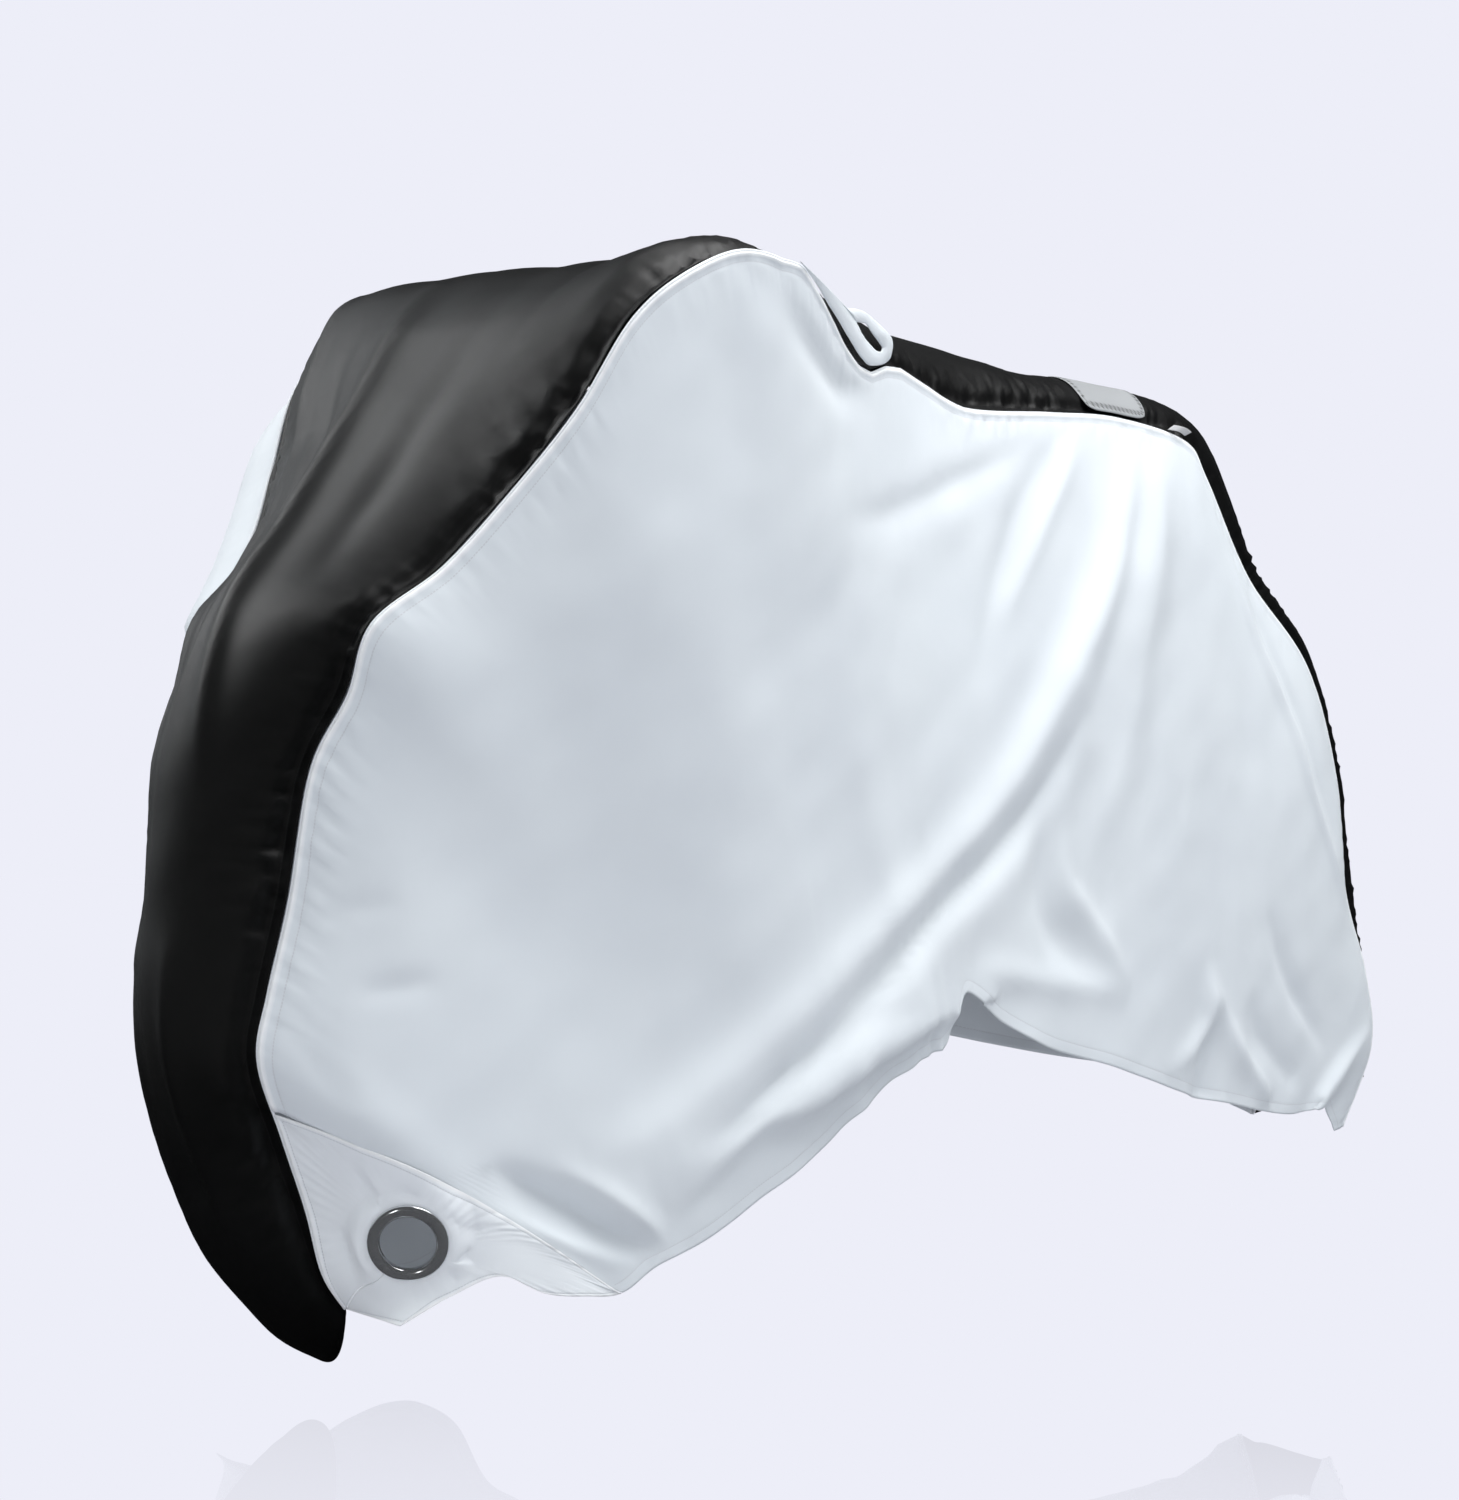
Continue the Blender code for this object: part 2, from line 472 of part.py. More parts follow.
def build_reflective_patch(finish):
    """A strip sewn on the gusset over the rear peak: a few of the gusset's own cells, lifted clear of it."""
    across, points, normals = gusset_grid()
    columns = np.flatnonzero((COLUMNS > PATCH_SECTIONS[0]) & (COLUMNS < PATCH_SECTIONS[1]))
    rows = np.flatnonzero((across[columns[0]] > PATCH_ACROSS[0]) & (across[columns[0]] < PATCH_ACROSS[1]))
    cells = np.ix_(columns, rows)
    under = CLOTH / 2 + LAY_GAP
    faces = grid_faces(len(columns), len(rows))
    solid = lifted_sheet(points[cells].reshape(-1, 3), normals[cells].reshape(-1, 3), faces,
                         under, under + PATCH_CLOTH)
    return add_object("reflective_patch", *solid, finish)


def build_piping(name, side, finish):
    line = seam_point(COLUMNS, side)
    return add_object(name, *tube(line, PIPING_RADIUS, PIPING_SIDES, np.array([0.0, side, 0.0])), finish)


def build_lock_strip(finish):
    points, faces = lock_sheet(STRIP_RINGS)
    solid = thick_sheet(points, faces, eyelet_frame()[3], -CLOTH / 2, CLOTH / 2)
    return add_object("lock_strip", *solid, finish)


def build_eyelet(finish):
    """A turned ring with rounded flanges and a groove in its outer side for the edge of the hole."""
    middle, level, rise, out = eyelet_frame()
    half, slot = EYELET_THICK / 2, EYELET_GROOVE / 2
    round_off = 0.0012
    profile = [
        (EYELET_INNER, -half + 2 * round_off), (EYELET_INNER, half - 2 * round_off),
        (EYELET_INNER + round_off, half - 0.5 * round_off), (EYELET_INNER + 3 * round_off, half),
        (EYELET_OUTER - 3 * round_off, half - 0.3 * round_off), (EYELET_OUTER, slot + 0.6 * round_off),
        (EYELET_OUTER, slot), (GROOVE_ROOT, slot), (GROOVE_ROOT, -slot), (EYELET_OUTER, -slot),
        (EYELET_OUTER, -slot - 0.6 * round_off), (EYELET_OUTER - 3 * round_off, -half + 0.3 * round_off),
        (EYELET_INNER + 3 * round_off, -half), (EYELET_INNER + round_off, -half + 0.5 * round_off),
    ]
    points, faces = [], []
    for i in range(EYELET_STEPS):
        turn = 2 * math.pi * i / EYELET_STEPS
        spoke = math.cos(turn) * level + math.sin(turn) * rise
        points += [middle + radius * spoke + height * out for radius, height in profile]
        here, there = i * len(profile), (i + 1) % EYELET_STEPS * len(profile)
        for j in range(len(profile)):
            k = (j + 1) % len(profile)
            faces.append((here + j, here + k, there + k, there + j))
    return add_object("eyelet", points, faces, finish)


def main():
    silver = material("silver_cloth", (0.68, 0.71, 0.74), 0.55)
    strip = material("lock_strip_cloth", (0.66, 0.69, 0.72), 0.55)
    inner = material("far_cloth", (0.62, 0.66, 0.70), 0.58)
    black = material("gusset_cloth", (0.018, 0.018, 0.020), 0.50)
    pale = material("piping_cord", (0.78, 0.79, 0.81), 0.50)
    pale_far = material("piping_cord_far", (0.78, 0.79, 0.81), 0.50)
    reflective = material("reflective_cloth", (0.56, 0.57, 0.58), 0.40)
    chrome = material("eyelet_chrome", (0.75, 0.76, 0.78), 0.15, 1.0)
    build_near_panel(silver)
    build_lock_strip(strip)
    build_far_panel(inner)
    build_gusset(black)
    build_piping("piping_near", -1, pale)
    build_piping("piping_far", 1, pale_far)
    build_reflective_patch(reflective)
    build_eyelet(chrome)


main()
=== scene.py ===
# %% [markdown]
# # A fitted bicycle cover
# The real cover is sewn from two silver side panels and one long black gusset, with a thin cord caught in
# both seams. A strip with a chrome eyelet is sewn on low at the front, and a reflective patch lies on
# top. The cover hangs in the shape of what it hides, so its folds matter more than anything else here. We
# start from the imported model: it fixes the size, and our pieces stay where its solids are. HOLD is the
# point that the cover hangs from, measured from the floor under its middle; the model has its origin
# there.

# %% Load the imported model
import math

import bmesh
import bpy
import numpy as np
from mathutils import Matrix


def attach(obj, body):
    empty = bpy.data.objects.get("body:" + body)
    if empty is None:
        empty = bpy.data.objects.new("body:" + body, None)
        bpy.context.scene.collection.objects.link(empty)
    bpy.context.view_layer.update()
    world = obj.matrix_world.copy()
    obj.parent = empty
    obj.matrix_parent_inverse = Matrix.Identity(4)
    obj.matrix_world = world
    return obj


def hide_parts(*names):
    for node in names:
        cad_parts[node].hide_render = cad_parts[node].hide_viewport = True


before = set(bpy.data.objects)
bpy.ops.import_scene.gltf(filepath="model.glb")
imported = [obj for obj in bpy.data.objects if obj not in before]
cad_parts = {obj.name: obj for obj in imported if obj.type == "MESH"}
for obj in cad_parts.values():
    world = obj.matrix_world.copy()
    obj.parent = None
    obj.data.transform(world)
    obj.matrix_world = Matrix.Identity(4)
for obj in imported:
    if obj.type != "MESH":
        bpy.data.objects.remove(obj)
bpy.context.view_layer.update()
HOLD = np.array([0.400, 0.0, 1.166])
print("solids:", sorted(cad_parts))

# %% [markdown]
# ## The pattern: one row for each section
# A tailor would draw this cover as stations along its seam. Each row is one station, from the front hem
# over the top to the rear hem, with heights over the floor: where the seam lies, half the gusset's width,
# the gusset's middle line, the point of the hem below, the far hem's height, how far the panel swells,
# and how soon it has settled to the hem's depth. These are the same numbers that made the solids, so the
# cloth below lands on them. They are written in millimetres, and the last one in thousandths.

# %% The table of sections
COLUMNS = "x z half mid_x mid_z hem_x hem_z hem_y far_z belly settle".split()
SECTIONS = np.array([
    [-742, 96, 80, -715, 30, -735, 93, 165, 95, 0, 900],
    [-771, 132, 83, -775, 62, -692, 121, 185, 112, 0, 600],
    [-795, 194, 86, -838, 130, -648, 139, 200, 125, 4, 450],
    [-828, 264, 90, -882, 207, -598, 120, 205, 108, 10, 340],
    [-861, 336, 95, -924, 312, -550, 114, 205, 86, 16, 260],
    [-857, 398, 100, -936, 400, -503, 113, 200, 72, 20, 240],
    [-845, 486, 108, -935, 490, -460, 137, 200, 76, 24, 240],
    [-840, 607, 125, -930, 605, -409, 155, 200, 106, 30, 300],
    [-823, 678, 155, -914, 690, -364, 177, 200, 172, 36, 450],
    [-817, 744, 180, -880, 770, -318, 205, 200, 200, 42, 700],
    [-762, 801, 210, -822, 846, -271, 232, 200, 226, 48, 900],
    [-716, 876, 250, -768, 922, -233, 256, 200, 250, 46, 1000],
    [-677, 953, 290, -724, 994, -200, 280, 200, 268, 36, 1000],
    [-640, 1042, 320, -676, 1074, -171, 297, 200, 282, 20, 1000],
    [-587, 1095, 335, -610, 1136, -141, 315, 195, 292, 8, 1000],
    [-513, 1130, 330, -505, 1160, -110, 326, 190, 300, 4, 1000],
    [-418, 1130, 300, -400, 1164, -88, 336, 190, 318, 0, 1000],
    [-289, 1098, 230, -270, 1168, -63, 344, 185, 332, 0, 1000],
    [-132, 1095, 150, -120, 1173, -41, 354, 180, 342, 4, 1000],
    [1, 1083, 120, 30, 1178, -18, 410, 175, 350, 6, 1000],
    [176, 1108, 95, 185, 1175, 55, 378, 170, 356, 10, 1000],
    [309, 1124, 85, 325, 1179, 144, 347, 160, 352, 12, 900],
    [454, 1118, 75, 478, 1179, 272, 322, 150, 338, 14, 800],
    [502, 1075, 75, 572, 1128, 360, 302, 140, 325, 16, 700],
    [590, 955, 80, 662, 985, 451, 281, 130, 312, 18, 600],
    [716, 850, 85, 786, 872, 538, 268, 125, 302, 18, 500],
    [790, 704, 85, 862, 710, 611, 256, 120, 294, 16, 450],
    [820, 551, 85, 900, 555, 678, 250, 115, 288, 12, 450],
    [873, 441, 85, 925, 444, 724, 253, 110, 282, 8, 500],
    [901, 337, 80, 944, 332, 766, 257, 100, 274, 4, 600],
    [847, 226, 75, 915, 250, 812, 222, 85, 240, 0, 900],
]) / 1000
LAST = len(SECTIONS) - 1
print(len(SECTIONS), "sections of", len(COLUMNS), "numbers")

# %% [markdown]
# A few things vary along the cover without needing a column of their own. They are short lists of pairs,
# a section number and a value, read straight between. A power of 1 pulls the gusset straight from its
# middle line to the seam, 2 makes it an ellipse, and more makes it boxy, as where it lies over something
# broad.

# %% Short lists along the cover
NEAR_ROUND = [(0, 2.2), (1, 1.9), (7, 1.9), (8, 2.2), (11, 2.6), (12, 3.2), (13, 4.0), (15, 5.0), (16, 4.5),
              (17, 3.4), (18, 2.6), (19, 2.2), (22, 2.2), (24, 3.0), (28, 3.0), (30, 2.2)]
FAR_ROUND = [(0, 2.2), (1, 1.5), (7, 1.5), (8, 1.2), (9, 1.1), (12, 1.2), (13, 2.4), (14, 4.5), (16, 4.5),
             (17, 3.5), (18, 2.6), (19, 2.2)]
TOP_LINE = [(-1.0, 0.0), (-0.92, 0.002), (-0.85, 0.006), (-0.76, -0.004), (-0.63, -0.016), (-0.41, -0.014),
            (-0.05, -0.002), (0.29, 0.008), (0.53, 0.015), (0.70, 0.019), (0.85, 0.014), (1.0, 0.0)]
TOP_LINE_REACH = [(11.8, 0.0), (13.0, 0.7), (13.6, 1.0), (15.4, 1.0), (16.8, 0.0)]
FAR_DRAWN_IN = [(9.5, 0.0), (11.0, 0.018), (13.0, 0.018), (14.5, 0.0)]
SHOULDER = [(8.8, 0.0), (10.2, 1.0), (13.7, 1.0), (14.4, 0.0)]
PEAK_BACK = [(16.1, 0.0), (16.7, 0.016), (17.4, 0.018), (18.1, 0.0)]
SEAM_LIFT = [(15.6, 0.0), (16.0, 0.008), (16.25, 0.003), (16.5, 0.002), (16.75, -0.002), (17.0, -0.011),
             (17.25, -0.018), (17.5, -0.016), (17.75, 0.000), (18.0, 0.007), (18.5, 0.006), (19.0, 0.0)]


def along_pairs(at, pairs):
    return np.interp(at, [place for place, _ in pairs], [value for _, value in pairs])


print("the far seam is drawn in by", FAR_DRAWN_IN[1][1] * 1000, "mm over the front peak")

# %% [markdown]
# A smooth curve has to run through those rows, or the cloth would show a kink at every station. A
# Catmull-Rom curve passes through each point and needs no handles, which suits a table like this one.

# %% Read the table as smooth curves
def smooth_rows(rows, at):
    rows, at = np.asarray(rows, float), np.clip(np.asarray(at, float), 0, len(rows) - 1)
    base = np.clip(np.floor(at).astype(int), 0, len(rows) - 2)
    part = (at - base).reshape(at.shape + (1,) * (rows.ndim - 1))
    before, start = rows[np.maximum(base - 1, 0)], rows[base]
    end, after = rows[base + 1], rows[np.minimum(base + 2, len(rows) - 1)]
    bend = 2 * before - 5 * start + 4 * end - after + part * (3 * (start - end) + after - before)
    return start + 0.5 * part * (end - before + part * bend)


def section(at):
    values = smooth_rows(SECTIONS, at)
    return {name: values[..., k] for k, name in enumerate(COLUMNS)}


def seam_half(at, side):
    return section(at)["half"] - (along_pairs(at, FAR_DRAWN_IN) if side > 0 else 0.0)


def seam_point(at, side):
    row = section(at)
    lift = along_pairs(at, SEAM_LIFT) if side < 0 else 0.0
    return np.stack([row["x"], side * seam_half(at, side), row["z"] + lift], -1)


def run_along(points):
    """How far along a line of points each of them lies, in metres."""
    step = np.linalg.norm(np.diff(points, axis=0), axis=1)
    return np.concatenate([[0], np.cumsum(step)])


fine = np.linspace(0, LAST, 3001)
seam_length = run_along(seam_point(fine, -1))


def section_at(metres):
    return np.interp(metres, seam_length, fine)


def metres_at(at):
    return np.interp(at, fine, seam_length)


print("each seam is", round(float(seam_length[-1]), 2), "m long")

# %% [markdown]
# ## Folds
# A fold is drawn as a line on the panel, in x and z, with how far it stands out at each of its points in
# millimetres, a valley being negative. Its two flanks have their own breadths, since a real fold is
# rarely even: the side that hangs is long and soft, and the side that is pulled under is short and steep.
# A power of 2 gives a soft swell, and lower powers a sharper crest. Each fold is one line of text: its
# left and right breadth and its power, then x, z and height of its points. Lines that end in a colon are
# headings.

# %% How folds push the cloth out
def read_folds(text):
    folds = []
    for line in text.replace("\n    ", " ").splitlines():
        shape, bar, points = line.partition("|")
        if not bar:
            continue
        left, right, power = [float(word) for word in shape.split()]
        rows = [[float(word) for word in point.split()] for point in points.split(",")]
        folds.append((left / 1000, right / 1000, power, [(x / 1000, z / 1000, rise) for x, z, rise in rows]))
    return folds


def fold_heights(folds, first, second):
    total = np.zeros(np.shape(first))
    for left, right, power, points in folds:
        rows = np.asarray(points, float)
        if len(rows) > 2:
            rows = smooth_rows(rows, np.linspace(0, len(rows) - 1, 4 * len(rows) - 3))
        nearest = np.full(np.shape(first), 9.0)
        height = np.zeros(np.shape(first))
        signed = np.full(np.shape(first), 9.0)
        for (a1, a2, ah), (b1, b2, bh) in zip(rows, rows[1:]):
            run1, run2 = b1 - a1, b2 - a2
            long = math.hypot(run1, run2)
            share = np.clip(((first - a1) * run1 + (second - a2) * run2) / long ** 2, 0, 1)
            off1, off2 = first - a1 - share * run1, second - a2 - share * run2
            away = np.hypot(off1, off2)
            closer = away < nearest
            nearest = np.where(closer, away, nearest)
            height = np.where(closer, ah + (bh - ah) * share, height)
            signed = np.where(closer, np.where(run1 * off2 - run2 * off1 > 0, away, -away), signed)
        breadth = np.where(signed > 0, left, right)
        total = total + 0.001 * height * np.exp(-np.abs(signed / breadth) ** power)
    return total


def ripples(first, second, seed, length, count=14):
    """Soft random waves of about the given length, from -1 to 1, the same at every run."""
    dice = np.random.default_rng(seed)
    total = np.zeros(np.shape(first))
    for _ in range(count):
        turn, phase = dice.uniform(0, 2 * math.pi, 2)
        wave = 2 * math.pi / (length * dice.uniform(0.7, 1.5))
        total = total + np.sin(wave * (math.cos(turn) * first + math.sin(turn) * second) + phase)
    return total / math.sqrt(count)


print("a swell 10 mm off its line keeps", round(math.exp(-((0.010 / 0.030) ** 2)), 2), "of its height")

# %% [markdown]
# The folds of the near panel were read off the photograph. The cloth hangs from two peaks, and the
# longest fold runs from the rear peak to the low front of the hem, where the weight is. Shorter ones fan
# out from the same peak, and a few gather over the notch in the hem and at the rear corner. The far panel
# is hidden, so it gets a few quieter folds of the same kind.

# %% The folds of both side panels
NEAR_FOLDS = read_folds("""
long ridge from the rear peak down to the front hem, its valley, and the narrow ones beside it:
80 30 1.9 | 335 1100 8, 312 1030 20, 280 950 26, 235 870 27, 175 790 27, 110 700 28, 40 620 28, -50 550 28,
    -150 490 27, -250 420 25, -330 365 22, -400 315 18, -480 265 12, -560 240 0
18 50 1.5 | 200 760 0, 130 650 -22, 30 560 -31, -120 462 -31, -180 418 -27, -250 372 -23, -310 328 -18,
    -380 282 -12, -450 250 0
12 50 1.8 | 0 395 6, -90 375 20, -200 335 24, -290 292 20, -350 275 15, -410 225 8, -460 190 0
12 10 1.6 | -100 398 0, -200 380 -7, -290 340 -8, -330 318 -8, -370 283 -6, -420 243 0
16 14 1.6 | 240 1115 3, 200 1060 7, 170 1010 7, 130 950 6, 90 890 4, 50 830 0
26 20 1.8 | 210 1100 -2, 170 1065 -5, 110 995 -7, 70 930 -7, 30 840 -5, 0 750 0
30 34 1.8 | 350 1100 -4, 315 1000 -12, 280 900 -13, 235 800 -11, 200 710 0
34 30 1.8 | 400 1110 2, 365 1010 6, 330 890 8, 300 750 8, 260 650 7, 200 550 0
crossing creases near the top:
16 24 1.7 | -300 902 0, -200 925 -6, -110 955 -7, -30 990 -7, 60 1030 -6, 150 1080 0
20 24 1.8 | -460 1110 -3, -410 1085 -12, -360 1065 -16, -320 1052 -18, -280 1050 -17, -230 1070 -8,
    -200 1090 0
30 30 2 | -530 1090 0, -520 1020 -4, -520 940 0
the rear: a thin crease inside the seam, and the strip beyond it:
20 8 1.4 | 460 1110 2, 530 980 7, 580 870 8, 650 760 8, 690 680 7, 750 590 6, 780 530 0
12 18 1.8 | 500 1070 0, 555 975 -6, 605 875 -8, 675 760 -8, 720 670 -6, 770 580 0
the cowl over the notch in the hem:
30 26 1.9 | 140 660 0, 125 580 -10, 140 500 -12, 190 462 -10, 260 425 0
14 20 1.7 | 165 610 0, 175 540 6, 215 505 8, 270 455 7, 310 415 0
20 16 1.7 | 20 435 2, 80 428 7, 160 420 7, 260 415 4, 310 405 0
the rear corner:
26 34 1.8 | 500 400 0, 495 345 -14, 490 285 -20
18 14 1.6 | 475 450 0, 485 385 10, 450 340 10, 390 310 0
14 18 1.6 | 500 400 4, 550 335 12, 610 280 8
20 16 1.8 | 600 520 0, 640 450 -9, 690 390 -10, 760 330 0
20 20 1.8 | 570 410 0, 600 350 -8, 670 300 -6
30 14 1.6 | 895 370 0, 810 320 12, 750 270 10
the front:
12 26 1.5 | -670 245 0, -620 222 -15, -570 200 -19, -520 175 -16, -460 150 0
14 10 1.6 | -600 245 0, -540 215 8, -490 185 9, -450 160 0
10 14 1.6 | -660 205 0, -590 172 8, -530 152 8, -480 138 0
12 9 1.6 | -845 462 0, -810 478 -5, -770 492 0
12 12 1.8 | -810 400 0, -770 410 -5, -730 420 0
14 14 1.8 | -855 390 0, -840 350 -5, -820 320 -6, -800 290 0
broad quiet swells:
110 110 2 | -620 950 0, -640 740 -3, -580 560 -3, -480 420 0
120 100 2 | -380 920 -4, -360 760 -10, -320 600 -8
""")
FAR_FOLDS = read_folds("""
40 70 1.7 | 300 1060 4, 240 900 20, 120 720 22, -40 550 20, -280 360 8
40 26 1.8 | 330 960 0, 270 720 -14, 120 520 -16, -40 400 0
34 34 1.8 | 440 1080 3, 500 860 12, 550 600 10, 580 340 0
50 50 2 | -560 1060 3, -580 800 12, -520 520 10, -440 260 4
24 34 1.8 | -400 1080 0, -340 980 -14, -240 900 -12, -80 860 0
16 28 1.7 | -700 440 0, -600 320 8, -460 240 8, -300 280 0
20 20 1.7 | 660 620 0, 620 440 -8, 540 300 -8
""")
print(len(NEAR_FOLDS), "folds on the near panel,", len(FAR_FOLDS), "on the far one")

# %% [markdown]
# ## The shape of a side panel
# Each section drops from the seam to the hem. In x and z that is a straight line; in depth the cloth
# first swells out, then settles against the hem. The folds are added last and fade out at the seam, where
# the stitching holds the cloth flat.

# %% Points on the side panels
BELLY_AT = 0.22


def panel_point(at, drop, side, folded=True):
    at, drop = np.broadcast_arrays(np.asarray(at, float), np.asarray(drop, float))
    row = section(at)
    x = row["x"] + (row["hem_x"] - row["x"]) * drop
    z = row["z"] + ((row["hem_z"] if side < 0 else row["far_z"]) - row["z"]) * drop
    settled = (1 - np.exp(-drop / row["settle"])) / (1 - np.exp(-1 / row["settle"]))
    half = seam_half(at, side)
    depth = half + (row["hem_y"] - half) * settled
    depth = depth + row["belly"] * drop / BELLY_AT * np.exp(1 - drop / BELLY_AT)
    if side < 0:
        z = z + along_pairs(at, SEAM_LIFT) * np.exp(-((drop / 0.05) ** 2))
    else:
        risen = 1 - np.exp(-((drop / 0.05) ** 2))
        stand = along_pairs(at, SHOULDER) * risen * np.exp(-((drop / 0.30) ** 2))
        x, depth = x - 0.050 * stand, depth + 0.070 * stand
    if folded:
        calm = 1 - np.exp(-((drop / 0.07) ** 2))
        depth = depth + calm * fold_heights(NEAR_FOLDS if side < 0 else FAR_FOLDS, x, z)
    return np.stack([x, side * depth, z], -1)


def row_lengths(points):
    return np.linalg.norm(np.diff(points, axis=1), axis=2).sum(axis=1)


def drop_length(at, side):
    """Length of each section from seam to hem, in metres."""
    shares = np.linspace(0, 1, 33)
    return row_lengths(panel_point(np.asarray(at)[:, None], shares[None, :], side, folded=False))


print("the longest drop is", round(float(drop_length(fine[::60], -1).max()), 2), "m")

# %% [markdown]
# ## From a grid to a sheet of cloth
# Every sheet starts as Blender's own grid. Its x and y become two shares, along the seam and down the
# cloth, and each vertex moves to its place on the surface. The same shares give the UV map in metres, so
# that weave, stitches and puckers have their real size in the material. A Solidify modifier makes it
# cloth.

# %% Grids moved onto a surface
THICK = 0.0011


def read_all(items, label, width, kind=float):
    """One property of every vertex, face or corner, as rows."""
    flat = np.empty(len(items) * width, kind)
    items.foreach_get(label, flat)
    return flat.reshape(-1, width)


def lay_grid(name, along, across, place, ring=False):
    """A grid that place(u, v) moves onto a surface; place also returns the UV maps, in metres."""
    work = bmesh.new()
    bmesh.ops.create_grid(work, x_segments=along, y_segments=across, size=0.5)
    mesh = bpy.data.meshes.new(name)
    work.to_mesh(mesh)
    work.free()
    flat = read_all(mesh.vertices, "co", 3)
    points, maps = place(flat[:, 0] + 0.5, flat[:, 1] + 0.5)
    mesh.vertices.foreach_set("co", (points - HOLD).ravel())
    corner = read_all(mesh.loops, "vertex_index", 1, int)[:, 0]
    for label, pair in maps.items():
        layer = mesh.uv_layers.new(name=label)
        layer.data.foreach_set("uv", np.asarray(pair, np.float32)[corner].ravel())
    mesh.update()
    if ring:
        work = bmesh.new()
        work.from_mesh(mesh)
        bmesh.ops.remove_doubles(work, verts=work.verts, dist=1e-5)
        work.to_mesh(mesh)
        work.free()
    return mesh


def face_outwards(mesh, outward):
    """Turns the sheet over if most of it faces away from outward(points)."""
    centres, normals = read_all(mesh.polygons, "center", 3) + HOLD, read_all(mesh.polygons, "normal", 3)
    if (normals * outward(centres)).sum() < 0:
        mesh.flip_normals()
    mesh.update()


def push_out(mesh, heights):
    """Moves each vertex along its normal."""
    spots, normals = read_all(mesh.vertices, "co", 3), read_all(mesh.vertices, "normal", 3)
    moved = spots + normals * np.asarray(heights)[:, None]
    mesh.vertices.foreach_set("co", moved.ravel())
    mesh.update()


def as_piece(name, mesh, finish, node=None, thick=0.0, offset=0.0):
    """Links the mesh as a piece of the cover that rides on its one body."""
    mesh.shade_smooth()
    mesh.materials.append(finish)
    piece = bpy.data.objects.new(name, mesh)
    bpy.context.scene.collection.objects.link(piece)
    if thick:
        cloth = piece.modifiers.new("cloth thickness", "SOLIDIFY")
        cloth.thickness = thick
        cloth.offset = offset
        cloth.use_even_offset = False
    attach(piece, "root")
    if node:
        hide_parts(node)
    return piece


print("cloth is", THICK * 1000, "mm thick here")

# %% [markdown]
# ## Finishes
# Three effects are shared by all the cloth, so each is a node group made once: the weave, the puckers
# that a seam draws up, and a row of stitches. A material hands them its own coordinates and mixes what
# they return.

# %% Shared node helpers
def new_finish(name):
    finish = bpy.data.materials.new(name)
    finish.use_nodes = True
    return finish, finish.node_tree, finish.node_tree.nodes["Principled BSDF"]


def feed(tree, node, **values):
    """Gives sockets plain values, or links where the value is another node's output."""
    for label, value in values.items():
        socket = node.inputs[label.replace("_", " ")]
        if isinstance(value, bpy.types.NodeSocket):
            tree.links.new(value, socket)
        else:
            socket.default_value = value


def add_node(tree, kind, **values):
    node = tree.nodes.new("ShaderNode" + kind)
    feed(tree, node, **values)
    return node


def group_box(name, inputs, outputs):
    """A node group with named inputs, which are vectors where no value is given, and its two end nodes."""
    tree = bpy.data.node_groups.new(name, "ShaderNodeTree")
    for label, value in inputs.items():
        kind = "NodeSocketVector" if value is None else "NodeSocketFloat"
        socket = tree.interface.new_socket(name=label, in_out="INPUT", socket_type=kind)
        if value is not None:
            socket.default_value = value
    for label in outputs:
        tree.interface.new_socket(name=label, in_out="OUTPUT", socket_type="NodeSocketFloat")
    return tree, tree.nodes.new("NodeGroupInput"), tree.nodes.new("NodeGroupOutput")


def maths(tree, operation, first, second=None, third=None, clamp=False):
    node = tree.nodes.new("ShaderNodeMath")
    node.operation = operation
    node.use_clamp = clamp
    for socket, value in zip(node.inputs, (first, second, third)):
        if isinstance(value, bpy.types.NodeSocket):
            tree.links.new(value, socket)
        elif value is not None:
            socket.default_value = value
    return node.outputs[0]


def uv_parts(tree, label):
    source = tree.nodes.new("ShaderNodeUVMap")
    source.uv_map = label
    split = add_node(tree, "SeparateXYZ", Vector=source.outputs["UV"])
    return source.outputs["UV"], split.outputs["X"], split.outputs["Y"]


print("helpers for materials are ready")

# %% [markdown]
# A plain weave is one thread over, one thread under, in both directions. Two sine waves multiplied give
# just that pattern of small hills and dips, and their pitch is the real thread's.

# %% The weave, as a node group
weave, weave_in, weave_out = group_box("fine weave", {"Vector": None, "Thread": 0.0006}, ["Height"])
split = add_node(weave, "SeparateXYZ", Vector=weave_in.outputs["Vector"])
pitch = maths(weave, "DIVIDE", 2 * math.pi, weave_in.outputs["Thread"])
warp, weft = [maths(weave, "SINE", maths(weave, "MULTIPLY", split.outputs[axis], pitch)) for axis in "XY"]
feed(weave, weave_out, Height=maths(weave, "MULTIPLY", warp, weft))
print("weave group has", len(weave.nodes), "nodes")

# %% [markdown]
# A seam's thread is a little shorter than the cloth it holds, so the cloth puckers beside it. Noise that
# is stretched away from the seam looks like that, once it fades out over the reach of the stitches.

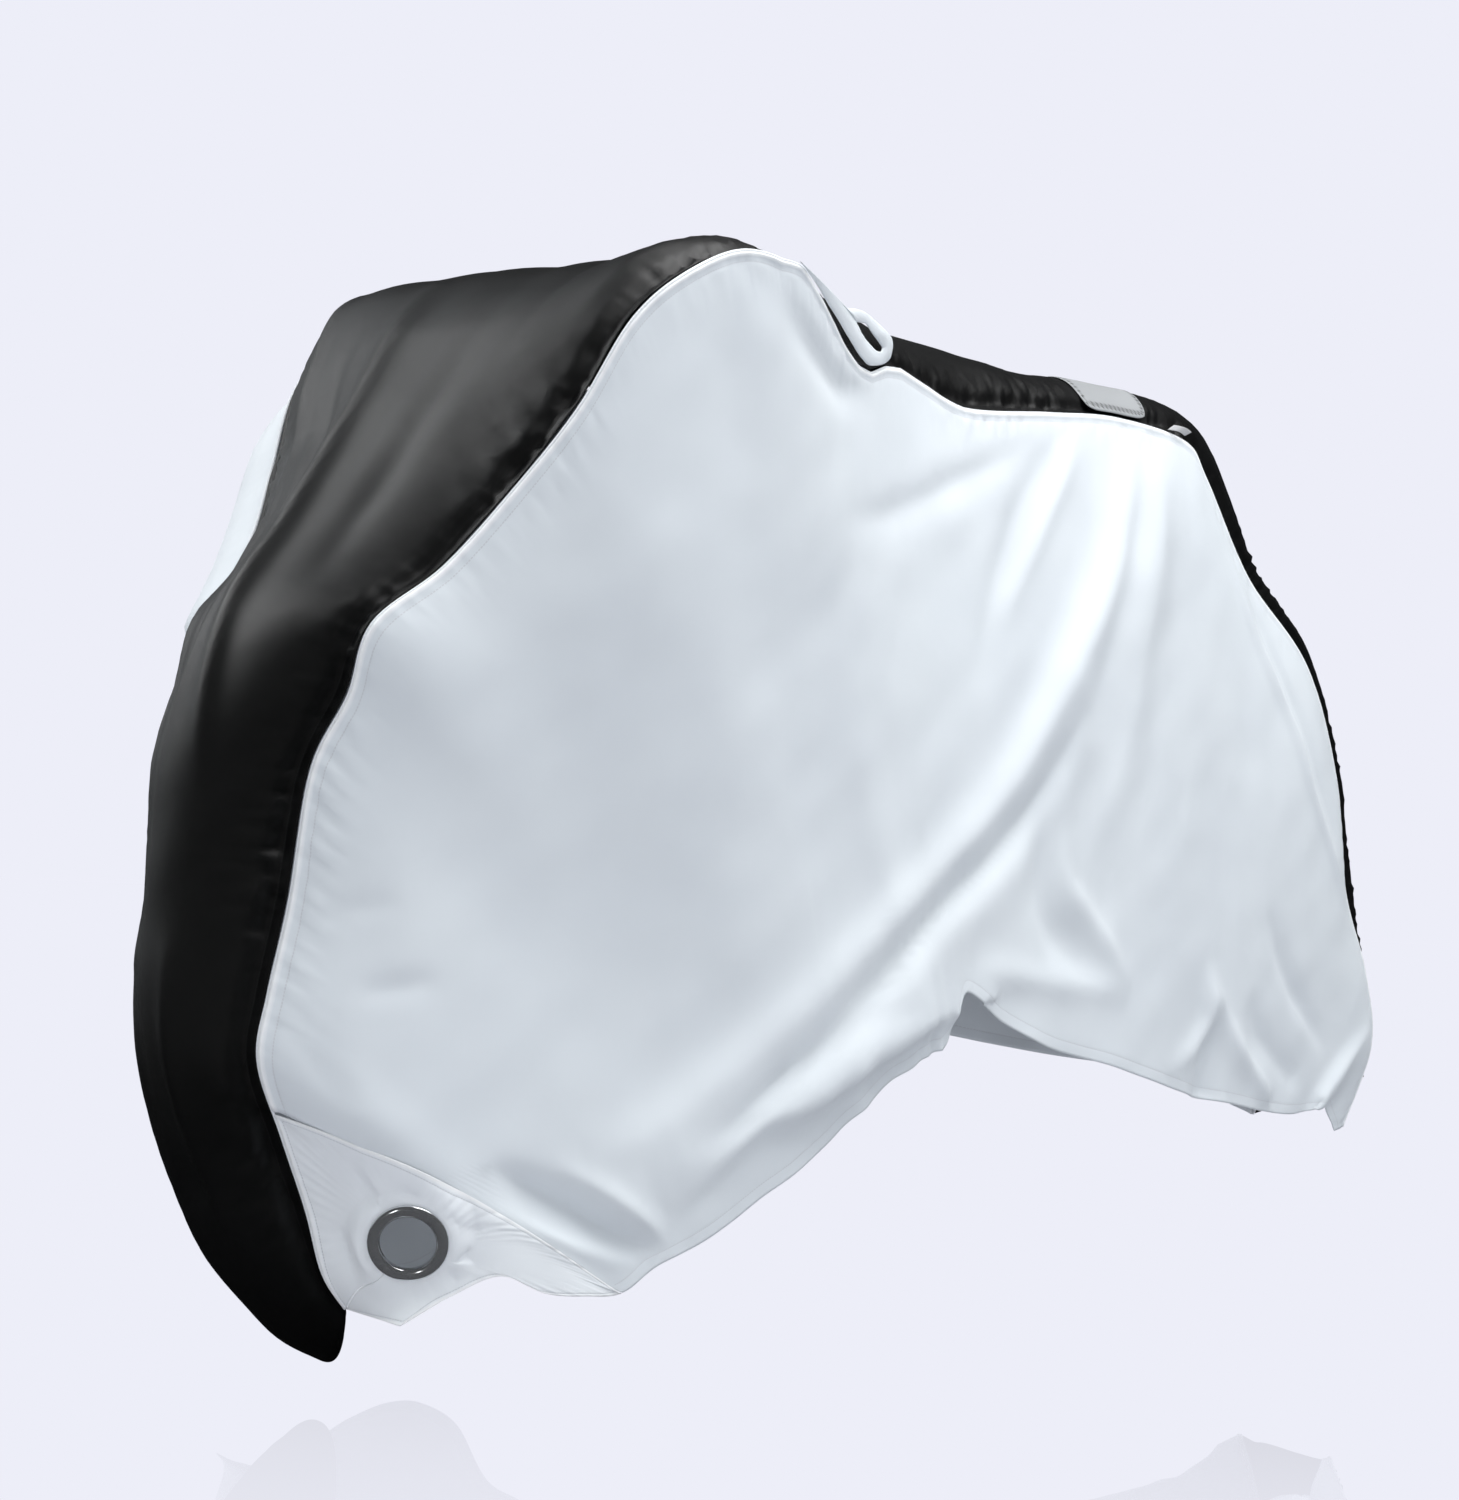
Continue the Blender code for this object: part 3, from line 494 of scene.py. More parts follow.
# %% Puckers beside a seam, as a node group
values = {"Along": 0.0, "Away": 0.0, "Reach": 0.020, "Pitch": 0.011}
puckers, pucker_in, pucker_out = group_box("seam puckers", values, ["Height"])
where = add_node(puckers, "CombineXYZ", Y=maths(puckers, "MULTIPLY", pucker_in.outputs["Away"], 22.0),
                 X=maths(puckers, "DIVIDE", pucker_in.outputs["Along"], pucker_in.outputs["Pitch"]))
noise = add_node(puckers, "TexNoise", Scale=0.55, Detail=1.0, Vector=where.outputs[0])
reached = maths(puckers, "DIVIDE", pucker_in.outputs["Away"], pucker_in.outputs["Reach"])
fade = maths(puckers, "EXPONENT", maths(puckers, "MULTIPLY", reached, -1.0))
lift = maths(puckers, "SUBTRACT", noise.outputs[0], 0.5)
feed(puckers, pucker_out, Height=maths(puckers, "MULTIPLY", lift, fade))
print("pucker group has", len(puckers.nodes), "nodes")

# %% [markdown]
# A machine stitch is a short dash of thread in a shallow groove. The distance from the seam says where
# the row lies, and the length along it, cut into equal beats, says where each stitch starts and ends.

# %% A row of stitches at a set distance, as a node group
values = {"Along": 0.0, "Away": 0.0, "Distance": 0.012, "Length": 0.0034}
stitches, stitch_in, stitch_out = group_box("stitch row", values, ["Thread", "Height"])
apart = maths(stitches, "SUBTRACT", stitch_in.outputs["Away"], stitch_in.outputs["Distance"])
off = maths(stitches, "ABSOLUTE", apart)
beats = maths(stitches, "DIVIDE", stitch_in.outputs["Along"], stitch_in.outputs["Length"])
beat = maths(stitches, "FRACT", beats)
on = maths(stitches, "LESS_THAN", beat, 0.72)
narrow = maths(stitches, "LESS_THAN", off, 0.00055)
thread = maths(stitches, "MULTIPLY", on, narrow)
from_row = maths(stitches, "MULTIPLY", maths(stitches, "DIVIDE", off, 0.0022), -1.0)
groove = maths(stitches, "EXPONENT", from_row)
feed(stitches, stitch_out, Thread=thread,
     Height=maths(stitches, "SUBTRACT", maths(stitches, "MULTIPLY", thread, 0.5), groove))
print("stitch group has", len(stitches.nodes), "nodes")

# %% [markdown]
# The patch is sewn on with a zigzag, which is nothing more than a stitch row whose distance swings from
# side to side. A triangle wave does that, so the same two coordinates, along and away, serve here too.

# %% A zigzag stitch, as a node group
values = {"Along": 0.0, "Away": 0.0, "Distance": 0.006, "Swing": 0.003, "Pitch": 0.008}
zigzag, zigzag_in, zigzag_out = group_box("zigzag stitch", values, ["Thread"])
turns = maths(zigzag, "DIVIDE", zigzag_in.outputs["Along"], zigzag_in.outputs["Pitch"])
wave = maths(zigzag, "PINGPONG", turns, 0.5)
swung = maths(zigzag, "MULTIPLY", maths(zigzag, "MULTIPLY_ADD", wave, 4.0, -1.0), zigzag_in.outputs["Swing"])
line = maths(zigzag, "ADD", swung, zigzag_in.outputs["Distance"])
apart = maths(zigzag, "ABSOLUTE", maths(zigzag, "SUBTRACT", zigzag_in.outputs["Away"], line))
feed(zigzag, zigzag_out, Thread=maths(zigzag, "LESS_THAN", apart, 0.0012))
print("zigzag group has", len(zigzag.nodes), "nodes")

# %% [markdown]
# A cloth finish puts the groups together: a base colour that wanders a little, the weave as the finest
# bump, puckers that die away from the seam, and the two rows of thread. Beside the seam the colour is
# painted: a painted highlight on the silver cloth, where it rolls round the cord, and painted shade on the
# black cloth. Sheen is the light that fibres scatter at a grazing angle: the silver side has a little,
# and the black side, which is coated, has none.

# %% Cloth finishes from those groups
def place_group(tree, group, **values):
    node = tree.nodes.new("ShaderNodeGroup")
    node.node_tree = group
    feed(tree, node, **values)
    return node


def mottled(tree, dark, light):
    """A colour that wanders between two near tones over the piece, and the noise behind it."""
    place = tree.nodes.new("ShaderNodeTexCoord")
    noise = add_node(tree, "TexNoise", Scale=5.0, Detail=4.0, Vector=place.outputs["Object"])
    shade = add_node(tree, "ValToRGB", Fac=noise.outputs[0])
    for element, tone, position in zip(shade.color_ramp.elements, (dark, light), (0.35, 0.65)):
        element.color = (*tone, 1)
        element.position = position
    return shade.outputs["Color"], noise.outputs[0]


def blend_colour(tree, mask, under, over):
    blend = tree.nodes.new("ShaderNodeMix")
    blend.data_type = "RGBA"
    feed(tree, blend, Factor=mask, A=under, B=(*over, 1))
    return blend.outputs["Result"]


def bump_from(tree, height, shader):
    bump = add_node(tree, "Bump", Distance=1.0, Strength=1.0, Height=height)
    feed(tree, shader, Normal=bump.outputs["Normal"])


# The band beside the seam where light and shade are painted into the colour: its reach and its fade.
WEAVE_DEPTH, PAINTED_SEAM_REACH, PAINTED_SEAM_FADE = 0.00004, 0.0050, 0.0025


def cloth_finish(name, dark, light, rough, sheen, pucker_depth, thread_colour, painted_seam_shading_colour, specular=0.5,
                 stitch_at=0.0100, stitch_depth=0.0005):
    finish, tree, shader = new_finish(name)
    spot, along, away = uv_parts(tree, "cloth")
    _, hem_along, hem_away = uv_parts(tree, "hem")
    shade, noise = mottled(tree, dark, light)
    weaving = place_group(tree, weave, Vector=spot, Thread=0.0007)
    pulling = place_group(tree, puckers, Along=along, Away=away, Reach=0.02, Pitch=0.011)
    seam_row = place_group(tree, stitches, Along=along, Away=away, Distance=stitch_at)
    hem_row = place_group(tree, stitches, Along=hem_along, Away=hem_away, Distance=0.014)
    thread = maths(tree, "MAXIMUM", seam_row.outputs["Thread"], hem_row.outputs["Thread"])
    # Mask of the band beside the seam: painted highlight on silver cloth, painted shade on black cloth.
    painted_seam_shading = maths(tree, "MULTIPLY_ADD", away, -1 / PAINTED_SEAM_FADE, PAINTED_SEAM_REACH / PAINTED_SEAM_FADE, clamp=True)
    shade = blend_colour(tree, painted_seam_shading, shade, painted_seam_shading_colour)
    height = maths(tree, "MULTIPLY", weaving.outputs["Height"], WEAVE_DEPTH)
    height = maths(tree, "MULTIPLY_ADD", pulling.outputs["Height"], pucker_depth, height)
    rows = maths(tree, "ADD", seam_row.outputs["Height"], hem_row.outputs["Height"])
    bump_from(tree, maths(tree, "MULTIPLY_ADD", rows, stitch_depth, height), shader)
    feed(tree, shader, Base_Color=blend_colour(tree, thread, shade, thread_colour),
         Roughness=maths(tree, "MULTIPLY_ADD", noise, 0.10, rough - 0.05),
         Sheen_Weight=sheen, Sheen_Roughness=0.4, Specular_IOR_Level=specular)
    return finish


SILVER = ((0.725, 0.765, 0.800), (0.755, 0.795, 0.825))
# The lock strip is the same silver cloth as the panels, painted lighter: painted light for a strip that faces
# down.
PAINTED_LIGHT_SILVER = ((0.86, 0.89, 0.92), (0.89, 0.92, 0.94))
# In the silver finishes the seam band's colour is a painted highlight, paler than the cloth.
coated = {"sheen": 0.10, "specular": 0.45,
          "thread_colour": (0.66, 0.68, 0.71), "painted_seam_shading_colour": (0.93, 0.94, 0.95)}
on_panel = {"pucker_depth": 0.0036, "stitch_depth": 0.0003, **coated}
silver_cloth = cloth_finish("silver cloth", *SILVER, 0.50, **on_panel)
far_cloth = cloth_finish("silver cloth far side", *SILVER, 0.52, **on_panel)
# The lock strip takes the silver painted lighter, as painted light.
strip_cloth = cloth_finish("silver cloth strip", *PAINTED_LIGHT_SILVER, 0.50, pucker_depth=0.0030, stitch_at=0.006,
                           **coated)
tuck_cloth = cloth_finish("silver cloth tuck", *SILVER, 0.50, pucker_depth=0.0010, stitch_at=0.5, **coated)
# In the black cloth the seam band's colour is painted shade, a little darker than the cloth.
black_cloth = cloth_finish("black cloth", (0.0020, 0.0020, 0.0022), (0.0032, 0.0032, 0.0036), 0.40, sheen=0.0,
                           pucker_depth=0.0040, thread_colour=(0.010, 0.010, 0.010), painted_seam_shading_colour=(0.002,) * 3)
print("five cloth finishes")

# %% [markdown]
# The small parts have finishes of their own. The cord in the seams is the same silver cloth on a round
# core, with faint turns along it. The patch is a matt grey film, the eyelet is plated and a little worn,
# so its roughness wanders, and the tag is a plain grey ribbon.

# %% Finishes of the small parts
cord_cloth, tree, shader = new_finish("piping cord")
_, along, _ = uv_parts(tree, "cloth")
shade, noise = mottled(tree, (0.76, 0.78, 0.81), (0.80, 0.82, 0.84))
turns = maths(tree, "SINE", maths(tree, "MULTIPLY", along, 2 * math.pi / 0.004))
bump_from(tree, maths(tree, "MULTIPLY", turns, 0.00012), shader)
feed(tree, shader, Base_Color=shade, Roughness=0.5)

patch_film, tree, shader = new_finish("reflective film")
spot, along, away = uv_parts(tree, "cloth")
shade, noise = mottled(tree, (0.33, 0.34, 0.35), (0.37, 0.38, 0.39))
sewn = place_group(tree, zigzag, Along=along, Away=away, Distance=0.0065, Swing=0.0030, Pitch=0.0085)
weaving = place_group(tree, weave, Vector=spot, Thread=0.0009)
height = maths(tree, "MULTIPLY", weaving.outputs["Height"], WEAVE_DEPTH)
bump_from(tree, maths(tree, "MULTIPLY_ADD", sewn.outputs["Thread"], 0.0004, height), shader)
feed(tree, shader, Base_Color=blend_colour(tree, sewn.outputs["Thread"], shade, (0.03, 0.03, 0.03)),
     Roughness=maths(tree, "MULTIPLY_ADD", noise, 0.15, 0.35))

plated, tree, shader = new_finish("plated metal")
shade, noise = mottled(tree, (0.76, 0.77, 0.79), (0.84, 0.85, 0.87))
feed(tree, shader, Base_Color=shade, Roughness=maths(tree, "MULTIPLY_ADD", noise, 0.10, 0.10), Metallic=0.90)

tag_ribbon, tree, shader = new_finish("grey ribbon")
spot, _, _ = uv_parts(tree, "cloth")
shade, noise = mottled(tree, (0.50, 0.50, 0.51), (0.56, 0.56, 0.57))
weaving = place_group(tree, weave, Vector=spot, Thread=0.0009)
bump_from(tree, maths(tree, "MULTIPLY", weaving.outputs["Height"], 0.00006), shader)
feed(tree, shader, Base_Color=shade, Roughness=maths(tree, "MULTIPLY_ADD", noise, 0.2, 0.5))
print("cord, film, metal and ribbon are ready")

# %% [markdown]
# ## The near side panel
# This is one piece of coated polyester, cut to the seam above and hemmed below. At the low front it stops
# at a stitched line, where the lock strip takes over. Its grid is dense at the seam and the hem, since
# that is where the cloth is gathered, rolled and sewn. A sheet without a hem of its own gets the distance
# NO_HEM, which is so large that no hem stitches show.

# %% Where the panel starts and ends
STITCH_LINE = [(3.3, 0.00), (3.5, 0.21), (4.0, 0.50), (4.5, 0.76), (5.0, 1.00)]
PIPING = 0.0019
TUCKED_IN = PIPING * 0.3
SEAM_ROWS, HEM_ROWS = 0.17, 0.07
NO_HEM = 9.0


def unit(vectors):
    return vectors / np.linalg.norm(vectors, axis=-1, keepdims=True)


def stitch_share(at):
    return along_pairs(at, STITCH_LINE)


def edge_share(at, side, gap):
    """The share of each section at which a panel is a gap away from its seam."""
    tiny = 1e-3
    line = unit(seam_point(at + tiny, side) - seam_point(at - tiny, side))
    arm = panel_point(at, tiny, side, folded=False) - seam_point(at, side)
    arm = arm - (arm * line).sum(-1, keepdims=True) * line
    return tiny * gap / np.linalg.norm(arm, axis=-1)


def row_metres(v, length, seam_zone=0.034, hem_zone=0.020):
    """Spreads a grid's rows over a drop: close together at the seam and the hem, even between them."""
    scale = np.minimum(1, length / 0.12)
    top, low = seam_zone * scale, hem_zone * scale
    first = np.clip(v / SEAM_ROWS, 0, 1) * top
    second = np.clip((v - SEAM_ROWS) / (1 - SEAM_ROWS - HEM_ROWS), 0, 1) * (length - top - low)
    third = np.clip((v - 1 + HEM_ROWS) / HEM_ROWS, 0, 1) * low
    return first + second + third


def hang_panel(side, first_section, cut):
    """A placing function for lay_grid: from first_section to the rear hem, down to cut(at)."""
    start = float(metres_at(first_section))
    grid_at = np.linspace(0, LAST, 401)
    lengths = drop_length(grid_at, side)

    def place(u, v):
        along = start + (seam_length[-1] - start) * u
        at = section_at(along)
        begin, end = edge_share(at, side, TUCKED_IN), cut(at)
        length = np.interp(at, grid_at, lengths)
        used = np.maximum((end - begin) * length, 0.004)
        metres = row_metres(v, used)
        drop = begin + metres / length * ((end - begin) * length / used)
        points = panel_point(at, drop, side)
        whole = np.where(end < 0.999, NO_HEM, used - metres)
        hem = np.stack([along * 0.8, whole], -1)
        return points, {"cloth": np.stack([along, metres], -1), "hem": hem}

    return place


print("the stitched line runs over sections", STITCH_LINE[0][0], "to", STITCH_LINE[-1][0])

# %% [markdown]
# The stitched seam is a small roll: the cloth wraps the cord, and the row of stitches pulls it down again
# behind. The thread is also shorter than the cloth it holds, so the cloth gathers in short folds. Both
# are pushed into the grid along its normals, with random lengths so that no two folds are alike.

# %% The sewn edges
def seam_roll(metres):
    roll = 0.0019 * np.exp(-((metres - 0.0018) / 0.0026) ** 2)
    groove = -0.0002 * np.exp(-((metres - 0.0100) / 0.0030) ** 2)
    return roll + groove


def gathers(along, metres, seed, pitch=0.015, reach=0.020, depth=0.0032):
    """Short folds that the stitching draws up beside a seam."""
    wave = ripples(along, metres * 0.25, seed, pitch, count=9)
    patch = 0.55 + 0.45 * ripples(along, along * 0, seed + 1, 0.23, count=6)
    rise = 1 - np.exp(-(metres / 0.009) ** 2)
    return depth * wave * np.clip(patch, 0, 2) * rise * np.exp(-metres / reach)


def hem_gathers(along, metres, seed, pitch=0.16, reach=0.050, depth=0.0022):
    wave = ripples(along, metres * 0.2, seed, pitch, count=9)
    return depth * wave * np.exp(-metres / reach)


def read_uv(mesh, label):
    """The UV of each vertex, taken from any of its corners."""
    pair = np.zeros((len(mesh.vertices), 2))
    corner = read_all(mesh.loops, "vertex_index", 1, int)[:, 0]
    pair[corner] = read_all(mesh.uv_layers[label].data, "uv", 2, np.float32)
    return pair


def settle_edges(mesh, seed):
    along, away = read_uv(mesh, "cloth").T
    _, hem = read_uv(mesh, "hem").T
    x, _, z = read_all(mesh.vertices, "co", 3).T
    low = 0.0010 * ripples(x, z, seed + 5, 0.16) + 0.0004 * ripples(x, z, seed + 6, 0.06)
    low = low * (1 - np.exp(-(away / 0.05) ** 2))
    push_out(mesh, seam_roll(away) + gathers(along, away, seed) + hem_gathers(along, hem, seed + 3) + low)


print("the roll stands", round(1000 * float(seam_roll(0.005)), 1), "mm proud of the panel")

# %% [markdown]
# Now the panel can be hung. It starts a little past the point where the stitched line leaves the seam,
# and its lower edge runs along that line, lapped under the strip by a hundredth of each section's length.

# %% Hang the near panel
near_mesh = lay_grid("near_panel", 430, 92,
                     hang_panel(-1, 3.36, lambda at: np.where(at < 5, stitch_share(at) + 0.010, 1.0)))
face_outwards(near_mesh, lambda centres: np.array([0.0, -1.0, 0.0]))
settle_edges(near_mesh, 11)
near_panel = as_piece("near_panel", near_mesh, silver_cloth, "panel_near", THICK)
print("near panel:", len(near_mesh.polygons), "faces")

# %% [markdown]
# The far panel is the same cloth in one piece, from the front hem to the rear hem, since no strip is sewn
# on there. Little of it shows, so its grid is coarser.

# %% Hang the far panel
far_mesh = lay_grid("far_panel", 300, 70, hang_panel(1, 0.0, lambda at: np.ones(np.shape(at))))
face_outwards(far_mesh, lambda centres: np.array([0.0, 1.0, 0.0]))
settle_edges(far_mesh, 31)
far_panel = as_piece("far_panel", far_mesh, far_cloth, "panel_far", THICK)
print("far panel:", len(far_mesh.polygons), "faces")

# %% [markdown]
# ## The gusset
# The black gusset is one long strip, wide over the front peak and narrow at both ends. Its cross-section
# bulges between the seams by the power read above, and the rows of its grid crowd towards the seams. Its
# folds are lines over section number and share of its width, both in thousandths.

# %% Shape and hang the gusset
GUSSET_FOLDS = read_folds("""
70 100 1.6 | 14000 720 6, 12600 700 14, 11000 680 16, 9600 660 14, 8200 520 12, 7000 420 9, 6000 300 0
70 100 1.6 | 13800 100 4, 12400 40 12, 11000 -20 14, 9600 -160 12, 8000 -300 9, 6800 -420 0
70 90 1.8 | 13200 420 0, 11600 400 -12, 10200 320 -12, 9000 220 -10, 7800 100 0
90 90 1.8 | 13400 -400 0, 11000 -460 -8, 9200 -600 0
220 220 2 | 5000 300 -3, 3000 -200 -5
100 140 1.6 | 6400 400 0, 5200 320 7, 3800 200 8, 2400 50 5, 1400 -50 0
120 90 1.6 | 5600 -300 0, 4400 -340 6, 3000 -400 6, 1800 -460 0
300 300 2 | 19000 100 -8, 20000 0 -8
""")


def gusset_point(at, across):
    at, across = np.broadcast_arrays(np.asarray(at, float), np.asarray(across, float))
    row = section(at)
    power = np.where(across < 0, along_pairs(at, NEAR_ROUND), along_pairs(at, FAR_ROUND))
    crown = 1 - np.abs(across) ** power
    out_x, out_z = row["mid_x"] - row["x"], row["mid_z"] - row["z"]
    crown = crown * (1 + fold_heights(GUSSET_FOLDS, at, across) / np.hypot(out_x, out_z))
    half = np.where(across < 0, seam_half(at, -1), seam_half(at, 1))
    lift = along_pairs(across, TOP_LINE) * along_pairs(at, TOP_LINE_REACH)
    lift = lift + along_pairs(at, SEAM_LIFT) * np.clip((1 - across) / 2, 0, 1) ** 8
    lift = lift + along_pairs(at, PEAK_BACK) * (1 - across ** 8)
    return np.stack([row["x"] + out_x * crown, half * across, row["z"] + out_z * crown + lift], -1)


def gusset_width(at):
    shares = np.linspace(-1, 1, 33)
    return row_lengths(gusset_point(np.asarray(at)[:, None], shares[None, :]))


CROWDING = 1.35


def hang_gusset(u, v):
    along = seam_length[-1] * u
    at = section_at(along)
    spread = np.sin((2 * v - 1) * CROWDING) / math.sin(CROWDING)
    points = gusset_point(at, spread * 0.985)
    grid_at = np.linspace(0, LAST, 301)
    width = np.interp(at, grid_at, gusset_width(grid_at))
    away = width * 0.5 * (1 - np.abs(spread)) ** 0.9
    hem = np.stack([spread * 0.2, seam_length[-1] - along], -1)
    return points, {"cloth": np.stack([along, away], -1), "hem": hem}


gusset_mesh = lay_grid("gusset_cloth", 430, 76, hang_gusset)
middle = np.array([-0.1, 0.0, 0.60])
face_outwards(gusset_mesh, lambda centres: (centres - middle) * np.array([1.0, 0.2, 1.0]))
along, away = read_uv(gusset_mesh, "cloth").T
drawn_up = gathers(along, away, 51, pitch=0.014, reach=0.024, depth=0.0090)
drawn_up = drawn_up - 0.0070 * np.exp(-((away - 0.013) / 0.010) ** 2)
push_out(gusset_mesh, np.clip(drawn_up, -0.014, 0.003) + 0.0008 * ripples(along, away, 57, 0.11))
gusset_cloth = as_piece("gusset_cloth", gusset_mesh, black_cloth, "gusset", THICK)
print("gusset:", len(gusset_mesh.polygons), "faces")

# %% [markdown]
# ## The lock strip
# Low at the front a strip of the same cloth carries the eyelet for a cable lock. Its grid runs in spokes
# from the hole to the outline, so that the edge of the hole is a true circle, and it stays flat wherever
# the eyelet grips it. Seven short creases run out from the metal, where the cloth is pulled.

# %% Where the eyelet sits
EYELET_CENTRE = np.array([-0.7350, -0.1712, 0.1715])
EYELET_OUT = unit(np.array([-0.587, -0.757, -0.289]))
LEVEL = unit(np.cross([0.0, 0.0, 1.0], EYELET_OUT))
RISE = np.cross(EYELET_OUT, LEVEL)
CLOTH_HOLE, FLAT_RADIUS, BLEND_RADIUS = 0.0310, 0.0405, 0.0700
STRIP_FOLDS = read_folds("""
7 12 1.6 | -66 83 0, -50 62 -4, -36 46 -3
8 6 1.6 | -48 78 0, -36 60 3, -26 46 1
6 8 1.6 | -16 60 0, 0 48 -3, 8 43 -1
8 10 1.6 | 40 22 -2, 56 10 -4, 78 -3 0
6 6 1.6 | 36 -24 -1, 41 -34 -3, 46 -45 0
10 14 1.7 | -80 12 0, -62 -21 -5, -50 -38 -4, -32 -52 0
10 8 1.7 | -70 16 0, -52 -10 3, -44 -26 2
""")


def place_on_panel(targets, guess):
    """The section numbers and shares of the panel's points that are nearest to the targets."""
    spot = np.tile(np.array(guess, float), (len(targets), 1))
    for _ in range(12):
        here = panel_point(spot[:, 0], spot[:, 1], -1, folded=False)
        right = panel_point(spot[:, 0] + 1e-3, spot[:, 1], -1, folded=False)
        below = panel_point(spot[:, 0], spot[:, 1] + 1e-3, -1, folded=False)
        slope = np.stack([right - here, below - here], -1) / 1e-3
        spot = spot + (np.linalg.pinv(slope) @ (targets - here)[..., None])[..., 0]
        spot = np.clip(spot, [0, 0], [LAST, 1])
    return spot


print("the eyelet looks along", EYELET_OUT.round(2))

# %% [markdown]
# The outline is walked round once, from the seam along the stitched line and the hem back to the front
# edge. Each spoke then runs from the round hole to its point of the outline: flat beside the metal, and
# blended into the panel's own surface further out.

# %% Cut and hang the lock strip
def strip_outline(u):
    """Runs round the strip once: seam, stitched line, hem and front edge, as section numbers and shares."""
    first_line, last_line = STITCH_LINE[0][0], STITCH_LINE[-1][0]
    seam_at, line_at = np.linspace(0, first_line, 80), np.linspace(first_line, last_line, 80)
    hem_at, front = np.linspace(5, 0, 160), np.linspace(1, float(edge_share(np.array(0.0), -1, PIPING)), 20)
    rim = np.concatenate([
        np.stack([seam_at, edge_share(seam_at, -1, TUCKED_IN)], 1),
        np.stack([line_at, stitch_share(line_at)], 1),
        np.stack([hem_at, np.ones(len(hem_at))], 1),
        np.stack([np.zeros(len(front)), front], 1),
    ])
    on_line = np.concatenate([np.zeros(80), np.ones(80), np.zeros(180)])
    on_seam = np.concatenate([np.ones(80), np.zeros(260)])
    run = run_along(panel_point(rim[:, 0], rim[:, 1], -1))
    here = u * run[-1]
    rim_at = np.stack([np.interp(here, run, rim[:, 0]), np.interp(here, run, rim[:, 1])], 1)
    return rim_at, here, np.interp(here, run, on_line), np.interp(here, run, on_seam)


def hang_strip(u, v):
    outer, run, on_line, on_seam = strip_outline(u)
    reach = panel_point(outer[:, 0], outer[:, 1], -1) - EYELET_CENTRE
    turn = np.arctan2(reach @ RISE, reach @ LEVEL)
    spoke = np.cos(turn)[:, None] * LEVEL + np.sin(turn)[:, None] * RISE
    inner = place_on_panel(EYELET_CENTRE + CLOTH_HOLE * spoke, (2.0, 0.47))
    length = np.linalg.norm(reach, axis=1)
    spot = inner + v[:, None] * (outer - inner)
    loose = panel_point(spot[:, 0], spot[:, 1], -1)
    radius = CLOTH_HOLE + v * (length - CLOTH_HOLE)
    blend = np.clip((radius - FLAT_RADIUS) / (BLEND_RADIUS - FLAT_RADIUS), 0, 1)
    blend = (blend * blend * (3 - 2 * blend))[:, None]
    points = blend * loose + (1 - blend) * (EYELET_CENTRE + radius[:, None] * spoke)
    away = (1 - v) * (length - CLOTH_HOLE)
    calm = np.clip((radius - FLAT_RADIUS) / 0.008, 0, 1)
    pull = fold_heights(STRIP_FOLDS, radius * np.cos(turn), radius * np.sin(turn)) * calm
    lap = 0.0016 * on_line * np.exp(-(away / 0.02) ** 2)
    sewn = np.clip(on_line + on_seam, 0, 1)
    rolled = seam_roll(away) * on_seam + 0.5 * gathers(run, away, 71) * sewn * calm
    points = points + (pull + lap + rolled)[:, None] * EYELET_OUT
    return points, {"cloth": np.stack([run, away], -1), "hem": np.stack([run, away * 0 + NO_HEM], -1)}


strip_mesh = lay_grid("lock_strip_cloth", 361, 44, hang_strip, ring=True)
face_outwards(strip_mesh, lambda centres: EYELET_OUT)
lock_strip = as_piece("lock_strip_cloth", strip_mesh, strip_cloth, "lock_strip", THICK)
print("lock strip:", len(strip_mesh.polygons), "faces")

# %% [markdown]
# The eyelet is pressed from two turned rings that clamp the cloth between them. Turned parts are spun:
# one closed profile of radius and height, turned once round the axis. The groove in its side holds the
# cloth.

# %% Spin the eyelet
RIM_MIDDLE, RIM_HALF, GROOVE, DOME, GROOVE_ROOT = 0.0325, 0.0060, 0.0014, 0.0042, 0.0288
half_turn = np.linspace(0, math.pi, 13)
front = [(RIM_MIDDLE - RIM_HALF * math.cos(t), GROOVE + DOME * math.sin(t)) for t in half_turn]
back = [(radius, -height) for radius, height in reversed(front)]
profile = front + [(GROOVE_ROOT, GROOVE), (GROOVE_ROOT, -GROOVE)] + back
turning = bmesh.new()
ring = [turning.verts.new((radius, 0.0, height)) for radius, height in profile]
edges = [turning.edges.new((ring[k], ring[(k + 1) % len(ring)])) for k in range(len(ring))]
bmesh.ops.spin(turning, geom=ring + edges, cent=(0, 0, 0), axis=(0, 0, 1), angle=2 * math.pi, steps=96,
               use_merge=True)
bmesh.ops.recalc_face_normals(turning, faces=turning.faces)
stand = Matrix(np.column_stack([LEVEL, RISE, EYELET_OUT]).tolist()).to_4x4()
stand.translation = EYELET_CENTRE - HOLD
bmesh.ops.transform(turning, matrix=stand, verts=turning.verts)
eyelet_mesh = bpy.data.meshes.new("eyelet_ring")
turning.to_mesh(eyelet_mesh)
turning.free()
eyelet_ring = as_piece("eyelet_ring", eyelet_mesh, plated, "eyelet")
print("eyelet:", len(eyelet_mesh.polygons), "faces")

# %% [markdown]
# ## Cord, patch and tag
# A cord is caught in each seam. It is a grid rolled into a tube round the seam's curve. The reflective
# patch is sewn on the gusset over the rear peak, with its corners rounded so that they do not lift, and a
# short ribbon tag is caught in the seam beside it.

